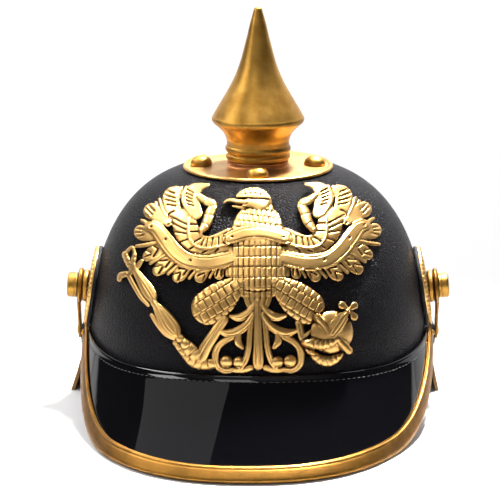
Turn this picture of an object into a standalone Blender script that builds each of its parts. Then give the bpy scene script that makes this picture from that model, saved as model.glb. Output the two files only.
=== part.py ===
"""Spiked parade helmet, built as separate solids.

Units are metres and +Z is up. The front looks along -Y and +X is the wearer's left. The pieces
are drawn about the spike's axis, and then moved so that the origin lies on the ground under the
middle of the helmet's box. Run it with
blender --background --python part.py, or from Blender's text editor.
"""

import math

import bmesh
import bpy
import numpy as np
from mathutils import Matrix, Vector

# Clearance between neighbouring pieces, and the step over which a surface's slope is measured
GAP = 0.0003
SLOPE_STEP = 0.0005

# Shell: a leather bowl with an upright band under an oval dome
SHELL_HALF_WIDTH = 0.0950
SHELL_HALF_LENGTH = 0.1070
SHELL_WALL = 0.0026
SHELL_EDGE_Z = 0.0360
SHELL_SPRING_Z = 0.0410
SHELL_DOME_HEIGHT = 0.0954
DOME_FULLNESS = 3.2
CROWN_RISE = 0.0013
CROWN_FLAT_SHARE = 0.07

# Visors: sewn to the band by a flange, then flaring out to their edges
VISOR_WALL = 0.0019
LIP_SIDE_Z = 0.0383
LIP_FRONT_RISE = 0.0061
FLANGE_HEIGHT = 0.0070
FLANGE_BEND = 0.0040
FRONT_EDGE_HALF_WIDTH = 0.0970
FRONT_EDGE_REACH = 0.1515
FRONT_EDGE_SQUARENESS = 2.5
FRONT_EDGE_FLAT_Y = -0.1100
FRONT_EDGE_END_Y = -0.0140
FRONT_EDGE_END_Z = 0.0330
REAR_EDGE_HALF_WIDTH = 0.1035
REAR_EDGE_REACH = 0.1440
REAR_EDGE_SQUARENESS = 2.25
REAR_EDGE_START_Y = -0.0060

# Trim: a folded brass channel on the front visor's edge, its outer leaf a thick band with a thin lip
TRIM_METAL = 0.0005
TRIM_CLEARANCE = 0.0004
TRIM_OUTER_LEAF = 0.0078
TRIM_BAND_HEIGHT = 0.0068
TRIM_BAND_THICKNESS = 0.0013
TRIM_BAND_DROP = 0.0012
TRIM_INNER_LEAF = 0.0040
TRIM_SHORTEST_LEAF = 0.0006
TRIM_HEADROOM = 0.0015
TRIM_RIVET_RADIUS = 0.0017
TRIM_RIVET_HEIGHT = 0.0012

# Base plate of the spike, with its rolled edge and collar
PLATE_RADIUS = 0.0421
PLATE_METAL = 0.0010
PLATE_ROLL_RADIUS = 0.0011
PLATE_HUB_SHARE = 0.10
COLLAR_RADIUS = 0.0172
COLLAR_HEIGHT = 0.0030
COLLAR_CHAMFER = 0.0006
STUD_COUNT = 4
STUD_CIRCLE_RADIUS = 0.0318
STUD_RADIUS = 0.0060
STUD_HEIGHT = 0.0050

# Spike: a turned point on a waisted foot
SPIKE_HEIGHT = 0.0852
SPIKE_RADIUS = 0.0259

# Chin strap fittings on each side, on one leaning axis
BOSS_Z = 0.0640
DISC_RADIUS = 0.0225
DISC_THICKNESS = 0.0018
COCKADE_OUTER_RADIUS = 0.0220
COCKADE_INNER_RADIUS = 0.0110
COCKADE_THICKNESS = 0.0016
ROSETTE_OUTER_RADIUS = 0.0092
ROSETTE_INNER_RADIUS = 0.0052
ROSETTE_THICKNESS = 0.0023
POST_RADIUS = 0.0035
KNOB_RADIUS = 0.0070
KNOB_LENGTH = 0.0058
LUG_EYE_RADIUS = 0.0100
LUG_METAL = 0.0024
LUG_ARM_WIDTH = 0.0100
LUG_ARM_METAL = 0.0016
LUG_DROP = 0.0320
LUG_SWING = 0.0060

# Chin strap: a plain band laid round the back of the helmet
STRAP_THICKNESS = 0.0016
STRAP_WIDTH = 0.0098
STRAP_Z = 0.0360
STRAP_REAR_RISE = 0.0045
STRAP_OVERLAP = 0.0033
STRAP_RIVET_RADIUS = 0.0024
STRAP_RIVET_HEIGHT = 0.0012

# Eagle plate: one pierced casting, drawn flat and laid on the front of the dome
EAGLE_CENTRE_Z = 0.0945
EAGLE_LEAN = math.radians(14.0)
EAGLE_SPAN = 0.1420
EAGLE_RELIEF = 0.0044
EAGLE_BACKING = 0.0014
EAGLE_CELL = 0.0012
EAGLE_FACETS_KEPT = 0.11

# Facets of the round pieces
SHELL_SIDES = 36
DOME_ROWS = 8
VISOR_STATIONS = 29
TURNED_SIDES = 18
STRAP_STATIONS = 41

# Colour, roughness and metallic value of each finish
FINISHES = {
    "pebbled_leather": ((0.020, 0.019, 0.020), 0.55, 0.0),
    "patent_leather": ((0.006, 0.006, 0.008), 0.10, 0.0),
    "rear_leather": ((0.012, 0.011, 0.011), 0.45, 0.0),
    "cast_gilt_brass": ((0.80, 0.56, 0.24), 0.34, 1.0),
    "polished_brass": ((0.78, 0.50, 0.16), 0.24, 1.0),
    "strap_leather": ((0.012, 0.010, 0.010), 0.50, 0.0),
    "cockade_leather": ((0.012, 0.010, 0.011), 0.60, 0.0),
}


def clear_scene():
    """Remove the objects that Blender starts with."""
    for item in list(bpy.data.objects):
        bpy.data.objects.remove(item, do_unlink=True)


def finish(name):
    """Return the named finish as a material, made once."""
    material = bpy.data.materials.get(name)
    if material is None:
        colour, roughness, metallic = FINISHES[name]
        material = bpy.data.materials.new(name)
        material.use_nodes = True
        shader = material.node_tree.nodes["Principled BSDF"]
        shader.inputs["Base Color"].default_value = (*colour, 1.0)
        shader.inputs["Roughness"].default_value = roughness
        shader.inputs["Metallic"].default_value = metallic
    return material


def solid(name, points, faces, finish_name, crease=35.0, turn_out=True):
    """Make one closed object from points and faces, turning its faces out where asked."""
    mesh = bpy.data.meshes.new(name)
    mesh.from_pydata([tuple(p) for p in points], [], faces)
    shape = bmesh.new()
    shape.from_mesh(mesh)
    if turn_out:
        bmesh.ops.recalc_face_normals(shape, faces=shape.faces)
    bmesh.ops.triangulate(shape, faces=[f for f in shape.faces if len(f.verts) > 4])
    shape.to_mesh(mesh)
    shape.free()
    mesh.shade_smooth()
    mesh.set_sharp_from_angle(angle=math.radians(crease))
    piece = bpy.data.objects.new(name, mesh)
    piece.data.materials.append(finish(finish_name))
    bpy.context.collection.objects.link(piece)
    return piece


def loft(name, rings, finish_name, closed=False, crease=35.0):
    """Skin a row of rings of equal length; a row that isn't closed gets a flat face at each end."""
    rings = np.asarray(rings, dtype=float)
    rows, sides = rings.shape[:2]
    index = np.arange(rows * sides).reshape(rows, sides)
    faces = []
    for i in range(rows if closed else rows - 1):
        here, there = index[i], index[(i + 1) % rows]
        for j in range(sides):
            k = (j + 1) % sides
            faces.append((int(here[j]), int(here[k]), int(there[k]), int(there[j])))
    if not closed:
        faces.append(tuple(int(v) for v in index[0][::-1]))
        faces.append(tuple(int(v) for v in index[-1]))
    return solid(name, rings.reshape(-1, 3), faces, finish_name, crease)


def turned(name, profile, finish_name, frame=None, closed=False, sides=TURNED_SIDES, crease=35.0):
    """Turn a profile of (radius, height) rows about the local Z axis of the frame."""
    angle = np.arange(sides) / sides * 2.0 * math.pi
    profile = np.asarray(profile, dtype=float)
    rings = np.empty((len(profile), sides, 3))
    rings[:, :, 0] = profile[:, :1] * np.cos(angle)
    rings[:, :, 1] = profile[:, :1] * np.sin(angle)
    rings[:, :, 2] = profile[:, 1:]
    if frame is not None:
        matrix = np.array(frame)
        rings = rings @ matrix[:3, :3].T + matrix[:3, 3]
    return loft(name, rings, finish_name, closed, crease)


def dome_profile(radius_share):
    """Height above the spring line, as a share of the dome height, at a share of the plan radius.

    A superellipse, pressed to a shallow cap inside the base plate's edge.
    """
    share = np.asarray(radius_share, dtype=float)
    seat = (PLATE_RADIUS + GAP) / SHELL_HALF_WIDTH
    round_part = np.sqrt(np.clip(1.0 - share ** DOME_FULLNESS, 0.0, 1.0))
    seat_height = math.sqrt(1.0 - seat ** DOME_FULLNESS)
    cap = seat_height + CROWN_RISE / SHELL_DOME_HEIGHT * (1.0 - (share / seat) ** 2)
    return np.where(share < seat, cap, round_part)


def half_length_at(radius_share, half_width, half_length):
    """Plan half length at a share of the radius: round at the crown, oval at the band."""
    return half_width + (half_length - half_width) * radius_share ** 3


def share_at_height(height):
    """Plan radius, as a share, where the dome's round part reaches this height."""
    rise = np.clip((height - SHELL_SPRING_Z) / SHELL_DOME_HEIGHT, 0.0, 0.999)
    return (1.0 - rise ** 2) ** (1.0 / DOME_FULLNESS)


def front_depth(across, height):
    """Y of the shell's front surface at an x and a z."""
    share = share_at_height(height)
    length = half_length_at(share, SHELL_HALF_WIDTH, SHELL_HALF_LENGTH)
    inside = share ** 2 - (across / SHELL_HALF_WIDTH) ** 2
    return -length * np.sqrt(np.clip(inside, 1e-4, None))


def side_reach(along, height):
    """X of the shell's side surface at a y and a z."""
    share = share_at_height(height)
    length = half_length_at(share, SHELL_HALF_WIDTH, SHELL_HALF_LENGTH)
    return SHELL_HALF_WIDTH * np.sqrt(np.clip(share ** 2 - (along / length) ** 2, 1e-4, None))


def unit(vectors):
    """Scale an array of vectors to length 1."""
    return vectors / np.linalg.norm(vectors, axis=-1, keepdims=True)


def oval(angle, half_width, half_length, height):
    """Points of an oval ring; angle 0 is the front and grows towards +X."""
    angle, height = np.broadcast_arrays(np.asarray(angle, dtype=float), height)
    return np.stack([half_width * np.sin(angle), -half_length * np.cos(angle), height], axis=-1)


def make_shell():
    """The bowl: rings up the inside from the crown to the edge, then back up the outside."""
    climb = np.linspace(0.0, 0.5 * math.pi, DOME_ROWS + 1)[:-1]
    shares = np.append(np.cos(climb) ** (2.0 / DOME_FULLNESS), CROWN_FLAT_SHARE)
    angle = np.arange(SHELL_SIDES) / SHELL_SIDES * 2.0 * math.pi

    def wall(inset):
        half_width = SHELL_HALF_WIDTH - inset
        half_length = SHELL_HALF_LENGTH - inset
        rings = [oval(angle, half_width, half_length, SHELL_EDGE_Z)]
        for share in shares:
            length = half_length_at(share, half_width, half_length)
            height = SHELL_SPRING_Z + (SHELL_DOME_HEIGHT - inset) * float(dome_profile(share))
            rings.append(oval(angle, half_width * share, length * share, height))
        return rings

    rings = wall(SHELL_WALL)[::-1] + wall(0.0)
    return loft("shell", rings, "pebbled_leather")


def flange_oval(offset):
    """Half width and half length of an oval ring at a distance outside the shell's band."""
    return SHELL_HALF_WIDTH + offset, SHELL_HALF_LENGTH + offset


def lip_height(angle):
    """Height of the flange's top edge, highest at the front."""
    return LIP_SIDE_Z + LIP_FRONT_RISE * np.clip(np.cos(angle), 0.0, 1.0) ** 3


def visor_sections(edge):
    """Middle line of a visor's wall at each station, square to the band, from the lip to the edge.

    Returns the line's points and outward normals, both (stations, points, 3).
    """
    half_width, half_length = flange_oval(GAP + 0.5 * VISOR_WALL)
    candidates = np.linspace(-math.pi, math.pi, 3601)
    ring = oval(candidates, half_width, half_length, 0.0)
    lines, normals = [], []
    for point in edge:
        nearest = int(np.argmin(np.sum((ring[:, :2] - point[:2]) ** 2, axis=1)))
        angle = candidates[nearest]
        root = ring[nearest]
        outward = unit(np.array([half_length * math.sin(angle), -half_width * math.cos(angle), 0.0]))
        reach = max(float(np.dot(point - root, outward)), 0.0)
        lip = float(lip_height(angle))
        bend = max(lip - FLANGE_HEIGHT, point[2] + 0.4 * (lip - point[2]))
        face = math.hypot(reach, bend - point[2])
        rounding = min(FLANGE_BEND, 0.45 * face, 0.45 * (lip - bend))
        corner = np.array([0.0, bend])
        end = np.array([reach, point[2]])
        above = corner + np.array([0.0, rounding])
        below = corner + (end - corner) * rounding / face
        middle = 0.25 * above + 0.5 * corner + 0.25 * below
        trim_top = end + (below - end) * min(1.2 * TRIM_OUTER_LEAF / face, 0.5)
        line = np.array([[0.0, lip], above, middle, below, trim_top, end])
        step = unit(np.diff(line, axis=0))
        tangent = unit(np.vstack([step[:1], step[:-1] + step[1:], step[-1:]]))
        lines.append(root + line[:, :1] * outward + line[:, 1:] * np.array([0.0, 0.0, 1.0]))
        normals.append(-tangent[:, 1:] * outward + tangent[:, :1] * np.array([0.0, 0.0, 1.0]))
    return np.array(lines), np.array(normals)


def superellipse(angle, half_width, reach, squareness):
    """Plan points of a superellipse arc, angle 0 in the middle."""
    power = 2.0 / squareness
    across = half_width * np.sign(np.sin(angle)) * np.abs(np.sin(angle)) ** power
    along = reach * np.sign(np.cos(angle)) * np.abs(np.cos(angle)) ** power
    return across, along


def evenly_spaced(curve, count):
    """Points at equal steps of length along a finely drawn plan curve, given as two arrays."""
    travelled = np.concatenate([[0.0], np.cumsum(np.hypot(np.diff(curve[0]), np.diff(curve[1])))])
    stops = np.linspace(0.0, travelled[-1], count)
    return np.interp(stops, travelled, curve[0]), np.interp(stops, travelled, curve[1])


def trim_slot():
    """Half the inner width of the trim's channel."""
    return 0.5 * VISOR_WALL + TRIM_CLEARANCE


def trim_fold(turn, down):
    """Corners of the trim's fold, from the outer leaf to the inner one, as offsets from the wall's end."""
    slot = trim_slot()
    return [(slot + TRIM_BAND_THICKNESS) * turn + (GAP + TRIM_BAND_DROP) * down,
            slot * turn + (GAP + max(TRIM_BAND_DROP, TRIM_METAL)) * down,
            -slot * turn + (GAP + TRIM_METAL) * down,
            -(slot + TRIM_METAL) * turn + GAP * down]


def front_edge():
    """Edge of the front visor's wall, lifted so that the trim's lowest line lies on the ground."""
    last = math.acos((-FRONT_EDGE_END_Y / FRONT_EDGE_REACH) ** (0.5 * FRONT_EDGE_SQUARENESS))
    angle = np.linspace(-last, last, 1201)
    plan = superellipse(angle, FRONT_EDGE_HALF_WIDTH, FRONT_EDGE_REACH, FRONT_EDGE_SQUARENESS)
    across, along = evenly_spaced(plan, VISOR_STATIONS)
    climb = np.clip((-along - FRONT_EDGE_FLAT_Y) / (FRONT_EDGE_END_Y - FRONT_EDGE_FLAT_Y), 0.0, 1.0)
    edge = np.stack([across, -along, FRONT_EDGE_END_Z * climb ** 1.8], axis=-1)
    ground_line = edge[:, 2].copy()
    for _ in range(3):
        lines, normals = visor_sections(edge)
        fold = np.array(trim_fold(normals[:, -1], unit(lines[:, -1] - lines[:, -2])))
        edge[:, 2] = ground_line - fold[:, :, 2].min(axis=0) * (1.0 - climb)
    return edge


def rear_edge():
    """Edge of the rear visor's wall, lying flat on the ground."""
    start = math.acos(-(-REAR_EDGE_START_Y / REAR_EDGE_REACH) ** (0.5 * REAR_EDGE_SQUARENESS))
    angle = np.linspace(start, 2.0 * math.pi - start, 1201)
    plan = superellipse(angle, REAR_EDGE_HALF_WIDTH, REAR_EDGE_REACH, REAR_EDGE_SQUARENESS)
    across, along = evenly_spaced(plan, VISOR_STATIONS)
    return np.stack([across, -along, np.zeros_like(across)], axis=-1)


def make_visor(name, edge, finish_name, level_edge):
    """A visor: its middle line given a wall, and its edge cut level where it stands on the ground."""
    lines, normals = visor_sections(edge)
    outer = lines + 0.5 * VISOR_WALL * normals
    inner = lines - 0.5 * VISOR_WALL * normals
    if level_edge:
        down = unit(lines[:, -1] - lines[:, -2])
        for side in (outer, inner):
            slide = (lines[:, -1, 2] - side[:, -1, 2]) / down[:, 2]
            side[:, -1] += slide[:, None] * down
    sections = np.concatenate([outer, inner[:, ::-1]], axis=1)
    return loft(name, sections, finish_name)


def point_on_line(line, normal, distance):
    """Point and normal at a distance up a section's middle line from its edge end."""
    points = line[::-1]
    turns = normal[::-1]
    steps = np.linalg.norm(np.diff(points, axis=0), axis=1)
    travelled = np.concatenate([[0.0], np.cumsum(steps)])
    last = len(steps) - 1
    i = min(int(np.searchsorted(travelled, distance, side="right")) - 1, last)
    share = (distance - travelled[i]) / steps[i]
    place = points[i] + share * (points[i + 1] - points[i])
    blend = min(share, 1.0)
    return place, unit(turns[i] * (1.0 - blend) + turns[i + 1] * blend)


def make_trim():
    """The brass channel: a thick band with a thin lip outside, a fold and a short leaf inside."""
    lines, normals = visor_sections(front_edge())
    run = unit(np.gradient(lines[:, -1], axis=0))
    slot = trim_slot()
    thin, thick = slot + TRIM_METAL, slot + TRIM_BAND_THICKNESS
    lip_foot = 0.5 * (TRIM_OUTER_LEAF + TRIM_BAND_HEIGHT)
    outer_side = ((TRIM_OUTER_LEAF, thin), (lip_foot, thin), (TRIM_BAND_HEIGHT, thick),
                  (0.5 * TRIM_BAND_HEIGHT, thick))
    sections = []
    for line, normal, along in zip(lines, normals, run):
        down = unit(line[-1] - line[-2])
        square = math.sqrt(max(1.0 - float(np.dot(down, along)) ** 2, 0.25))
        room = SHELL_EDGE_Z - line[-1][2] - TRIM_HEADROOM
        inner_leaf = min(TRIM_INNER_LEAF, max(room, TRIM_SHORTEST_LEAF))
        outline = []
        for height, offset in outer_side:
            place, turn = point_on_line(line, normal, height / square)
            outline.append(place + offset * turn)
        end, turn = line[-1], normal[-1]
        outline += [end + corner for corner in trim_fold(turn, down)]
        place, inner_turn = point_on_line(line, normal, inner_leaf)
        outline.append(place - thin * inner_turn)
        outline.append(place - slot * inner_turn)
        outline.append(end - slot * turn + GAP * down)
        outline.append(end + slot * turn + GAP * down)
        for height in (0.5 * TRIM_BAND_HEIGHT, TRIM_BAND_HEIGHT, TRIM_OUTER_LEAF):
            place, turn = point_on_line(line, normal, height / square)
            outline.append(place + slot * turn)
        sections.append(outline)
    make_trim_rivets(lines, normals, thick)
    return loft("visor_trim", sections, "polished_brass")


def make_trim_rivets(lines, normals, thick):
    """A small domed rivet near each end of the trim's band."""
    for name, station in (("trim_rivet_right", 1), ("trim_rivet_left", len(lines) - 2)):
        place, turn = point_on_line(lines[station], normals[station], 0.5 * TRIM_BAND_HEIGHT)
        seat = place + (thick + GAP) * turn
        turned(name, domed_profile(TRIM_RIVET_RADIUS, TRIM_RIVET_HEIGHT), "polished_brass",
               frame_along(seat, turn), sides=8)


def domed_profile(radius, height):
    """Profile rows of a low dome on a flat base."""
    turn = np.linspace(0.0, 0.5 * math.pi, 5)[:-1]
    rows = [(radius, 0.0)]
    rows += [(radius * math.cos(a), 0.15 * height + 0.85 * height * math.sin(a)) for a in turn]
    rows.append((0.12 * radius, height))
    return rows


def frame_along(place, axis):
    """Frame at a place whose Z axis points along the given direction."""
    turn = Vector(axis).to_track_quat("Z", "Y").to_matrix().to_4x4()
    return Matrix.Translation(Vector(place)) @ turn


def crown_height(radius):
    """Height of the shell's crown at a distance from the middle, under the base plate."""
    return SHELL_SPRING_Z + SHELL_DOME_HEIGHT * dome_profile(radius / SHELL_HALF_WIDTH)


def make_plate():
    """The base plate: a thin cap on the crown with a rolled edge and a raised collar."""
    hub = PLATE_HUB_SHARE * PLATE_RADIUS
    radii = np.linspace(hub, PLATE_RADIUS - PLATE_ROLL_RADIUS, 4)
    under = [(r, float(crown_height(r)) + GAP) for r in radii]
    roll_r, roll_z = PLATE_RADIUS - PLATE_ROLL_RADIUS, under[-1][1] + PLATE_ROLL_RADIUS
    turn = np.linspace(-0.5 * math.pi, 0.60 * math.pi, 6)[1:]
    roll = [(roll_r + PLATE_ROLL_RADIUS * math.cos(a), roll_z + PLATE_ROLL_RADIUS * math.sin(a))
            for a in turn]
    over_radii = np.linspace(PLATE_RADIUS - 3.0 * PLATE_ROLL_RADIUS, COLLAR_RADIUS, 3)
    over = [(r, float(crown_height(r)) + GAP + PLATE_METAL) for r in over_radii]
    collar_top = collar_top_height()
    collar = [(COLLAR_RADIUS, collar_top - COLLAR_CHAMFER), (COLLAR_RADIUS - COLLAR_CHAMFER, collar_top),
              (hub, collar_top)]
    return turned("spike_plate", under + roll + over + collar, "polished_brass", sides=24)


def collar_top_height():
    """Height of the collar's flat top, which carries the spike."""
    return float(crown_height(COLLAR_RADIUS)) + GAP + PLATE_METAL + COLLAR_HEIGHT


def make_studs():
    """Domed studs on the base plate, evenly spaced, one of them at the front."""
    further = crown_height(STUD_CIRCLE_RADIUS + SLOPE_STEP)
    nearer = crown_height(STUD_CIRCLE_RADIUS - SLOPE_STEP)
    slope = float(further - nearer) / (2.0 * SLOPE_STEP)
    for i in range(STUD_COUNT):
        angle = 2.0 * math.pi * i / STUD_COUNT
        direction = Vector((math.sin(angle), -math.cos(angle), 0.0))
        axis = (Vector((0.0, 0.0, 1.0)) - slope * direction).normalized()
        seat = direction * STUD_CIRCLE_RADIUS
        seat.z = float(crown_height(STUD_CIRCLE_RADIUS)) + GAP + PLATE_METAL
        seat += axis * 1.3 * GAP
        turned(f"plate_stud_{i + 1}", domed_profile(STUD_RADIUS, STUD_HEIGHT), "polished_brass",
               frame_along(seat, axis), sides=12)


# Spike profile: radius as a share of the widest radius, height as a share of the whole
SPIKE_ROWS = (
    {"radius": 0.080, "height": 0.000},
    {"radius": 0.683, "height": 0.000},
    {"radius": 0.697, "height": 0.028},
    {"radius": 0.672, "height": 0.040},
    {"radius": 0.705, "height": 0.056},
    {"radius": 0.705, "height": 0.076},
    {"radius": 0.672, "height": 0.092},
    {"radius": 0.687, "height": 0.128},
    {"radius": 0.737, "height": 0.172},
    {"radius": 0.876, "height": 0.220},
    {"radius": 0.975, "height": 0.246},
    {"radius": 1.000, "height": 0.265},
    {"radius": 0.965, "height": 0.290},
    {"radius": 0.888, "height": 0.334},
    {"radius": 0.734, "height": 0.412},
    {"radius": 0.467, "height": 0.570},
    {"radius": 0.305, "height": 0.728},
    {"radius": 0.178, "height": 0.886},
    {"radius": 0.104, "height": 0.966},
    {"radius": 0.070, "height": 0.994},
    {"radius": 0.025, "height": 1.000},
)


def make_spike():
    """The spike, turned about the helmet's upright axis."""
    foot = collar_top_height() + GAP
    rows = [(SPIKE_RADIUS * r["radius"], foot + SPIKE_HEIGHT * r["height"]) for r in SPIKE_ROWS]
    return turned("spike", rows, "polished_brass", crease=28.0)


def on_side(side, along, height, offset):
    """Point on the shell's side at a y and z, raised by an offset along the surface's normal."""
    step = SLOPE_STEP
    reach = side_reach(along, height)
    slope_y = (side_reach(along + step, height) - side_reach(along - step, height)) / (2.0 * step)
    slope_z = (side_reach(along, height + step) - side_reach(along, height - step)) / (2.0 * step)
    normal = unit(np.stack([np.ones_like(reach), -slope_y, -slope_z], axis=-1))
    point = np.stack([reach, along, height], axis=-1) + offset * normal
    return point * np.array([side, 1.0, 1.0])


def side_ring(side, radius, offset, sides=20):
    """Ring round the boss axis, lying along the shell's side at an offset."""
    angle = np.arange(sides) / sides * 2.0 * math.pi
    return on_side(side, radius * np.cos(angle), BOSS_Z + radius * np.sin(angle), offset)


def boss_frame(side):
    """Frame at the boss on the shell, its Z axis square to the shell's wall."""
    seat = on_side(side, np.array(0.0), np.array(BOSS_Z), 0.0)
    axis = on_side(side, np.array(0.0), np.array(BOSS_Z), 1.0) - seat
    return seat, axis / np.linalg.norm(axis)


def make_side_fittings(side, word):
    """Leather disc, cockade, rosette, knob and lug of one side."""
    seat, axis = boss_frame(side)
    frame = frame_along(seat, axis)
    disc_back, disc_front = GAP, GAP + DISC_THICKNESS
    shares = (0.1, 0.6, 1.0)
    rings = [side_ring(side, share * DISC_RADIUS, disc_back) for share in shares]
    rings += [side_ring(side, share * DISC_RADIUS, disc_front) for share in shares[::-1]]
    loft(f"cockade_disc_{word}", rings, "cockade_leather")

    low = disc_front + GAP
    high = low + COCKADE_THICKNESS
    middle = 0.5 * (COCKADE_OUTER_RADIUS + COCKADE_INNER_RADIUS)
    rings = [side_ring(side, COCKADE_INNER_RADIUS, low), side_ring(side, middle, low),
             side_ring(side, COCKADE_OUTER_RADIUS, low),
             side_ring(side, COCKADE_OUTER_RADIUS, 0.5 * (low + high)),
             side_ring(side, 0.96 * COCKADE_OUTER_RADIUS, high),
             side_ring(side, middle, low + 0.6 * COCKADE_THICKNESS),
             side_ring(side, COCKADE_INNER_RADIUS, low + 0.8 * COCKADE_THICKNESS)]
    loft(f"cockade_ring_{word}", rings, "cast_gilt_brass", closed=True)

    bulge = disc_front + 1.5 * GAP
    rosette_top = bulge + ROSETTE_THICKNESS
    rosette = [(ROSETTE_INNER_RADIUS, bulge), (ROSETTE_OUTER_RADIUS, bulge),
               (ROSETTE_OUTER_RADIUS, 0.5 * (bulge + rosette_top)),
               (0.88 * ROSETTE_OUTER_RADIUS, rosette_top), (ROSETTE_INNER_RADIUS, rosette_top)]
    turned(f"rosette_ring_{word}", rosette, "polished_brass", frame, closed=True)

    lug_back = rosette_top + GAP
    lug_front = lug_back + LUG_METAL
    knob_foot = lug_front + GAP
    knob_end = knob_foot + KNOB_LENGTH
    knob = [(0.2 * POST_RADIUS, bulge), (POST_RADIUS, bulge), (POST_RADIUS, knob_foot),
            (0.95 * KNOB_RADIUS, knob_foot), (KNOB_RADIUS, knob_foot + 0.08 * KNOB_LENGTH),
            (KNOB_RADIUS, knob_foot + 0.85 * KNOB_LENGTH), (0.86 * KNOB_RADIUS, knob_end),
            (0.2 * KNOB_RADIUS, knob_end)]
    turned(f"boss_knob_{word}", knob, "polished_brass", frame, sides=14)
    make_lug(side, word, frame, lug_back, lug_front)


def make_lug(side, word, frame, back, front):
    """A flat eye on the boss with an arm that hangs to the chin strap."""
    hole = POST_RADIUS + GAP
    washer = [(hole, back), (LUG_EYE_RADIUS, back), (LUG_EYE_RADIUS, front), (hole, front)]
    lug = turned(f"strap_lug_{word}", washer, "polished_brass", frame, closed=True)
    inner = strap_face() + GAP
    eye = frame @ Vector((0.0, 0.0, back))
    tilt = abs(frame.to_3x3().col[2].z)
    rows = []
    on_eye = 0.5 * (LUG_EYE_RADIUS + hole)
    stations = ((on_eye, 1.0), (LUG_EYE_RADIUS, 1.0), (0.62 * LUG_DROP, 0.92), (0.94 * LUG_DROP, 1.0),
                (LUG_DROP, 0.7))
    for drop, width in stations:
        if drop <= LUG_EYE_RADIUS:
            reach = abs(eye.x) + drop * tilt + 0.15 * LUG_METAL
            metal = 0.7 * LUG_METAL
        else:
            reach = inner
            metal = LUG_ARM_METAL
        middle = LUG_SWING * (drop / LUG_DROP)
        half = 0.5 * LUG_ARM_WIDTH * width
        corners = ((0.0, -half), (metal, -half), (metal, half), (0.0, half))
        rows.append([(side * (reach + out), middle + along, eye.z - drop) for out, along in corners])
    arm = loft(f"lug_arm_{word}", rows, "polished_brass")
    arm.hide_render = True
    arm.display_type = "WIRE"
    weld = lug.modifiers.new("arm", "BOOLEAN")
    weld.operation = "UNION"
    weld.object = arm
    weld.solver = "EXACT"
    seat = Vector((side * (inner + LUG_ARM_METAL + GAP), LUG_SWING * 0.8, eye.z - 0.86 * LUG_DROP))
    turned(f"strap_rivet_{word}", domed_profile(STRAP_RIVET_RADIUS, STRAP_RIVET_HEIGHT), "polished_brass",
           frame_along(seat, Vector((side, 0.0, 0.0))), sides=8)


def strap_offset():
    """Distance of the strap's inner face outside the shell's band: clear of the rear flange."""
    return GAP + VISOR_WALL + GAP


def strap_face():
    """X of the strap's outer face beside the lugs."""
    return SHELL_HALF_WIDTH + strap_offset() + STRAP_THICKNESS


def make_strap():
    """The chin strap: a flat band round the back, from one lug's lower end to the other."""
    start = 0.5 * math.pi - STRAP_OVERLAP / SHELL_HALF_LENGTH
    angle = np.linspace(start, 2.0 * math.pi - start, STRAP_STATIONS)
    middle = STRAP_Z + STRAP_REAR_RISE * np.clip(-np.cos(angle), 0.0, 1.0)
    sections = []
    for offset, side in ((0.0, -1), (STRAP_THICKNESS, -1), (STRAP_THICKNESS, 1), (0.0, 1)):
        half_width, half_length = flange_oval(strap_offset() + offset)
        sections.append(oval(angle, half_width, half_length, middle + side * 0.5 * STRAP_WIDTH))
    return loft("chin_strap", np.stack(sections, axis=1), "strap_leather")


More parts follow.
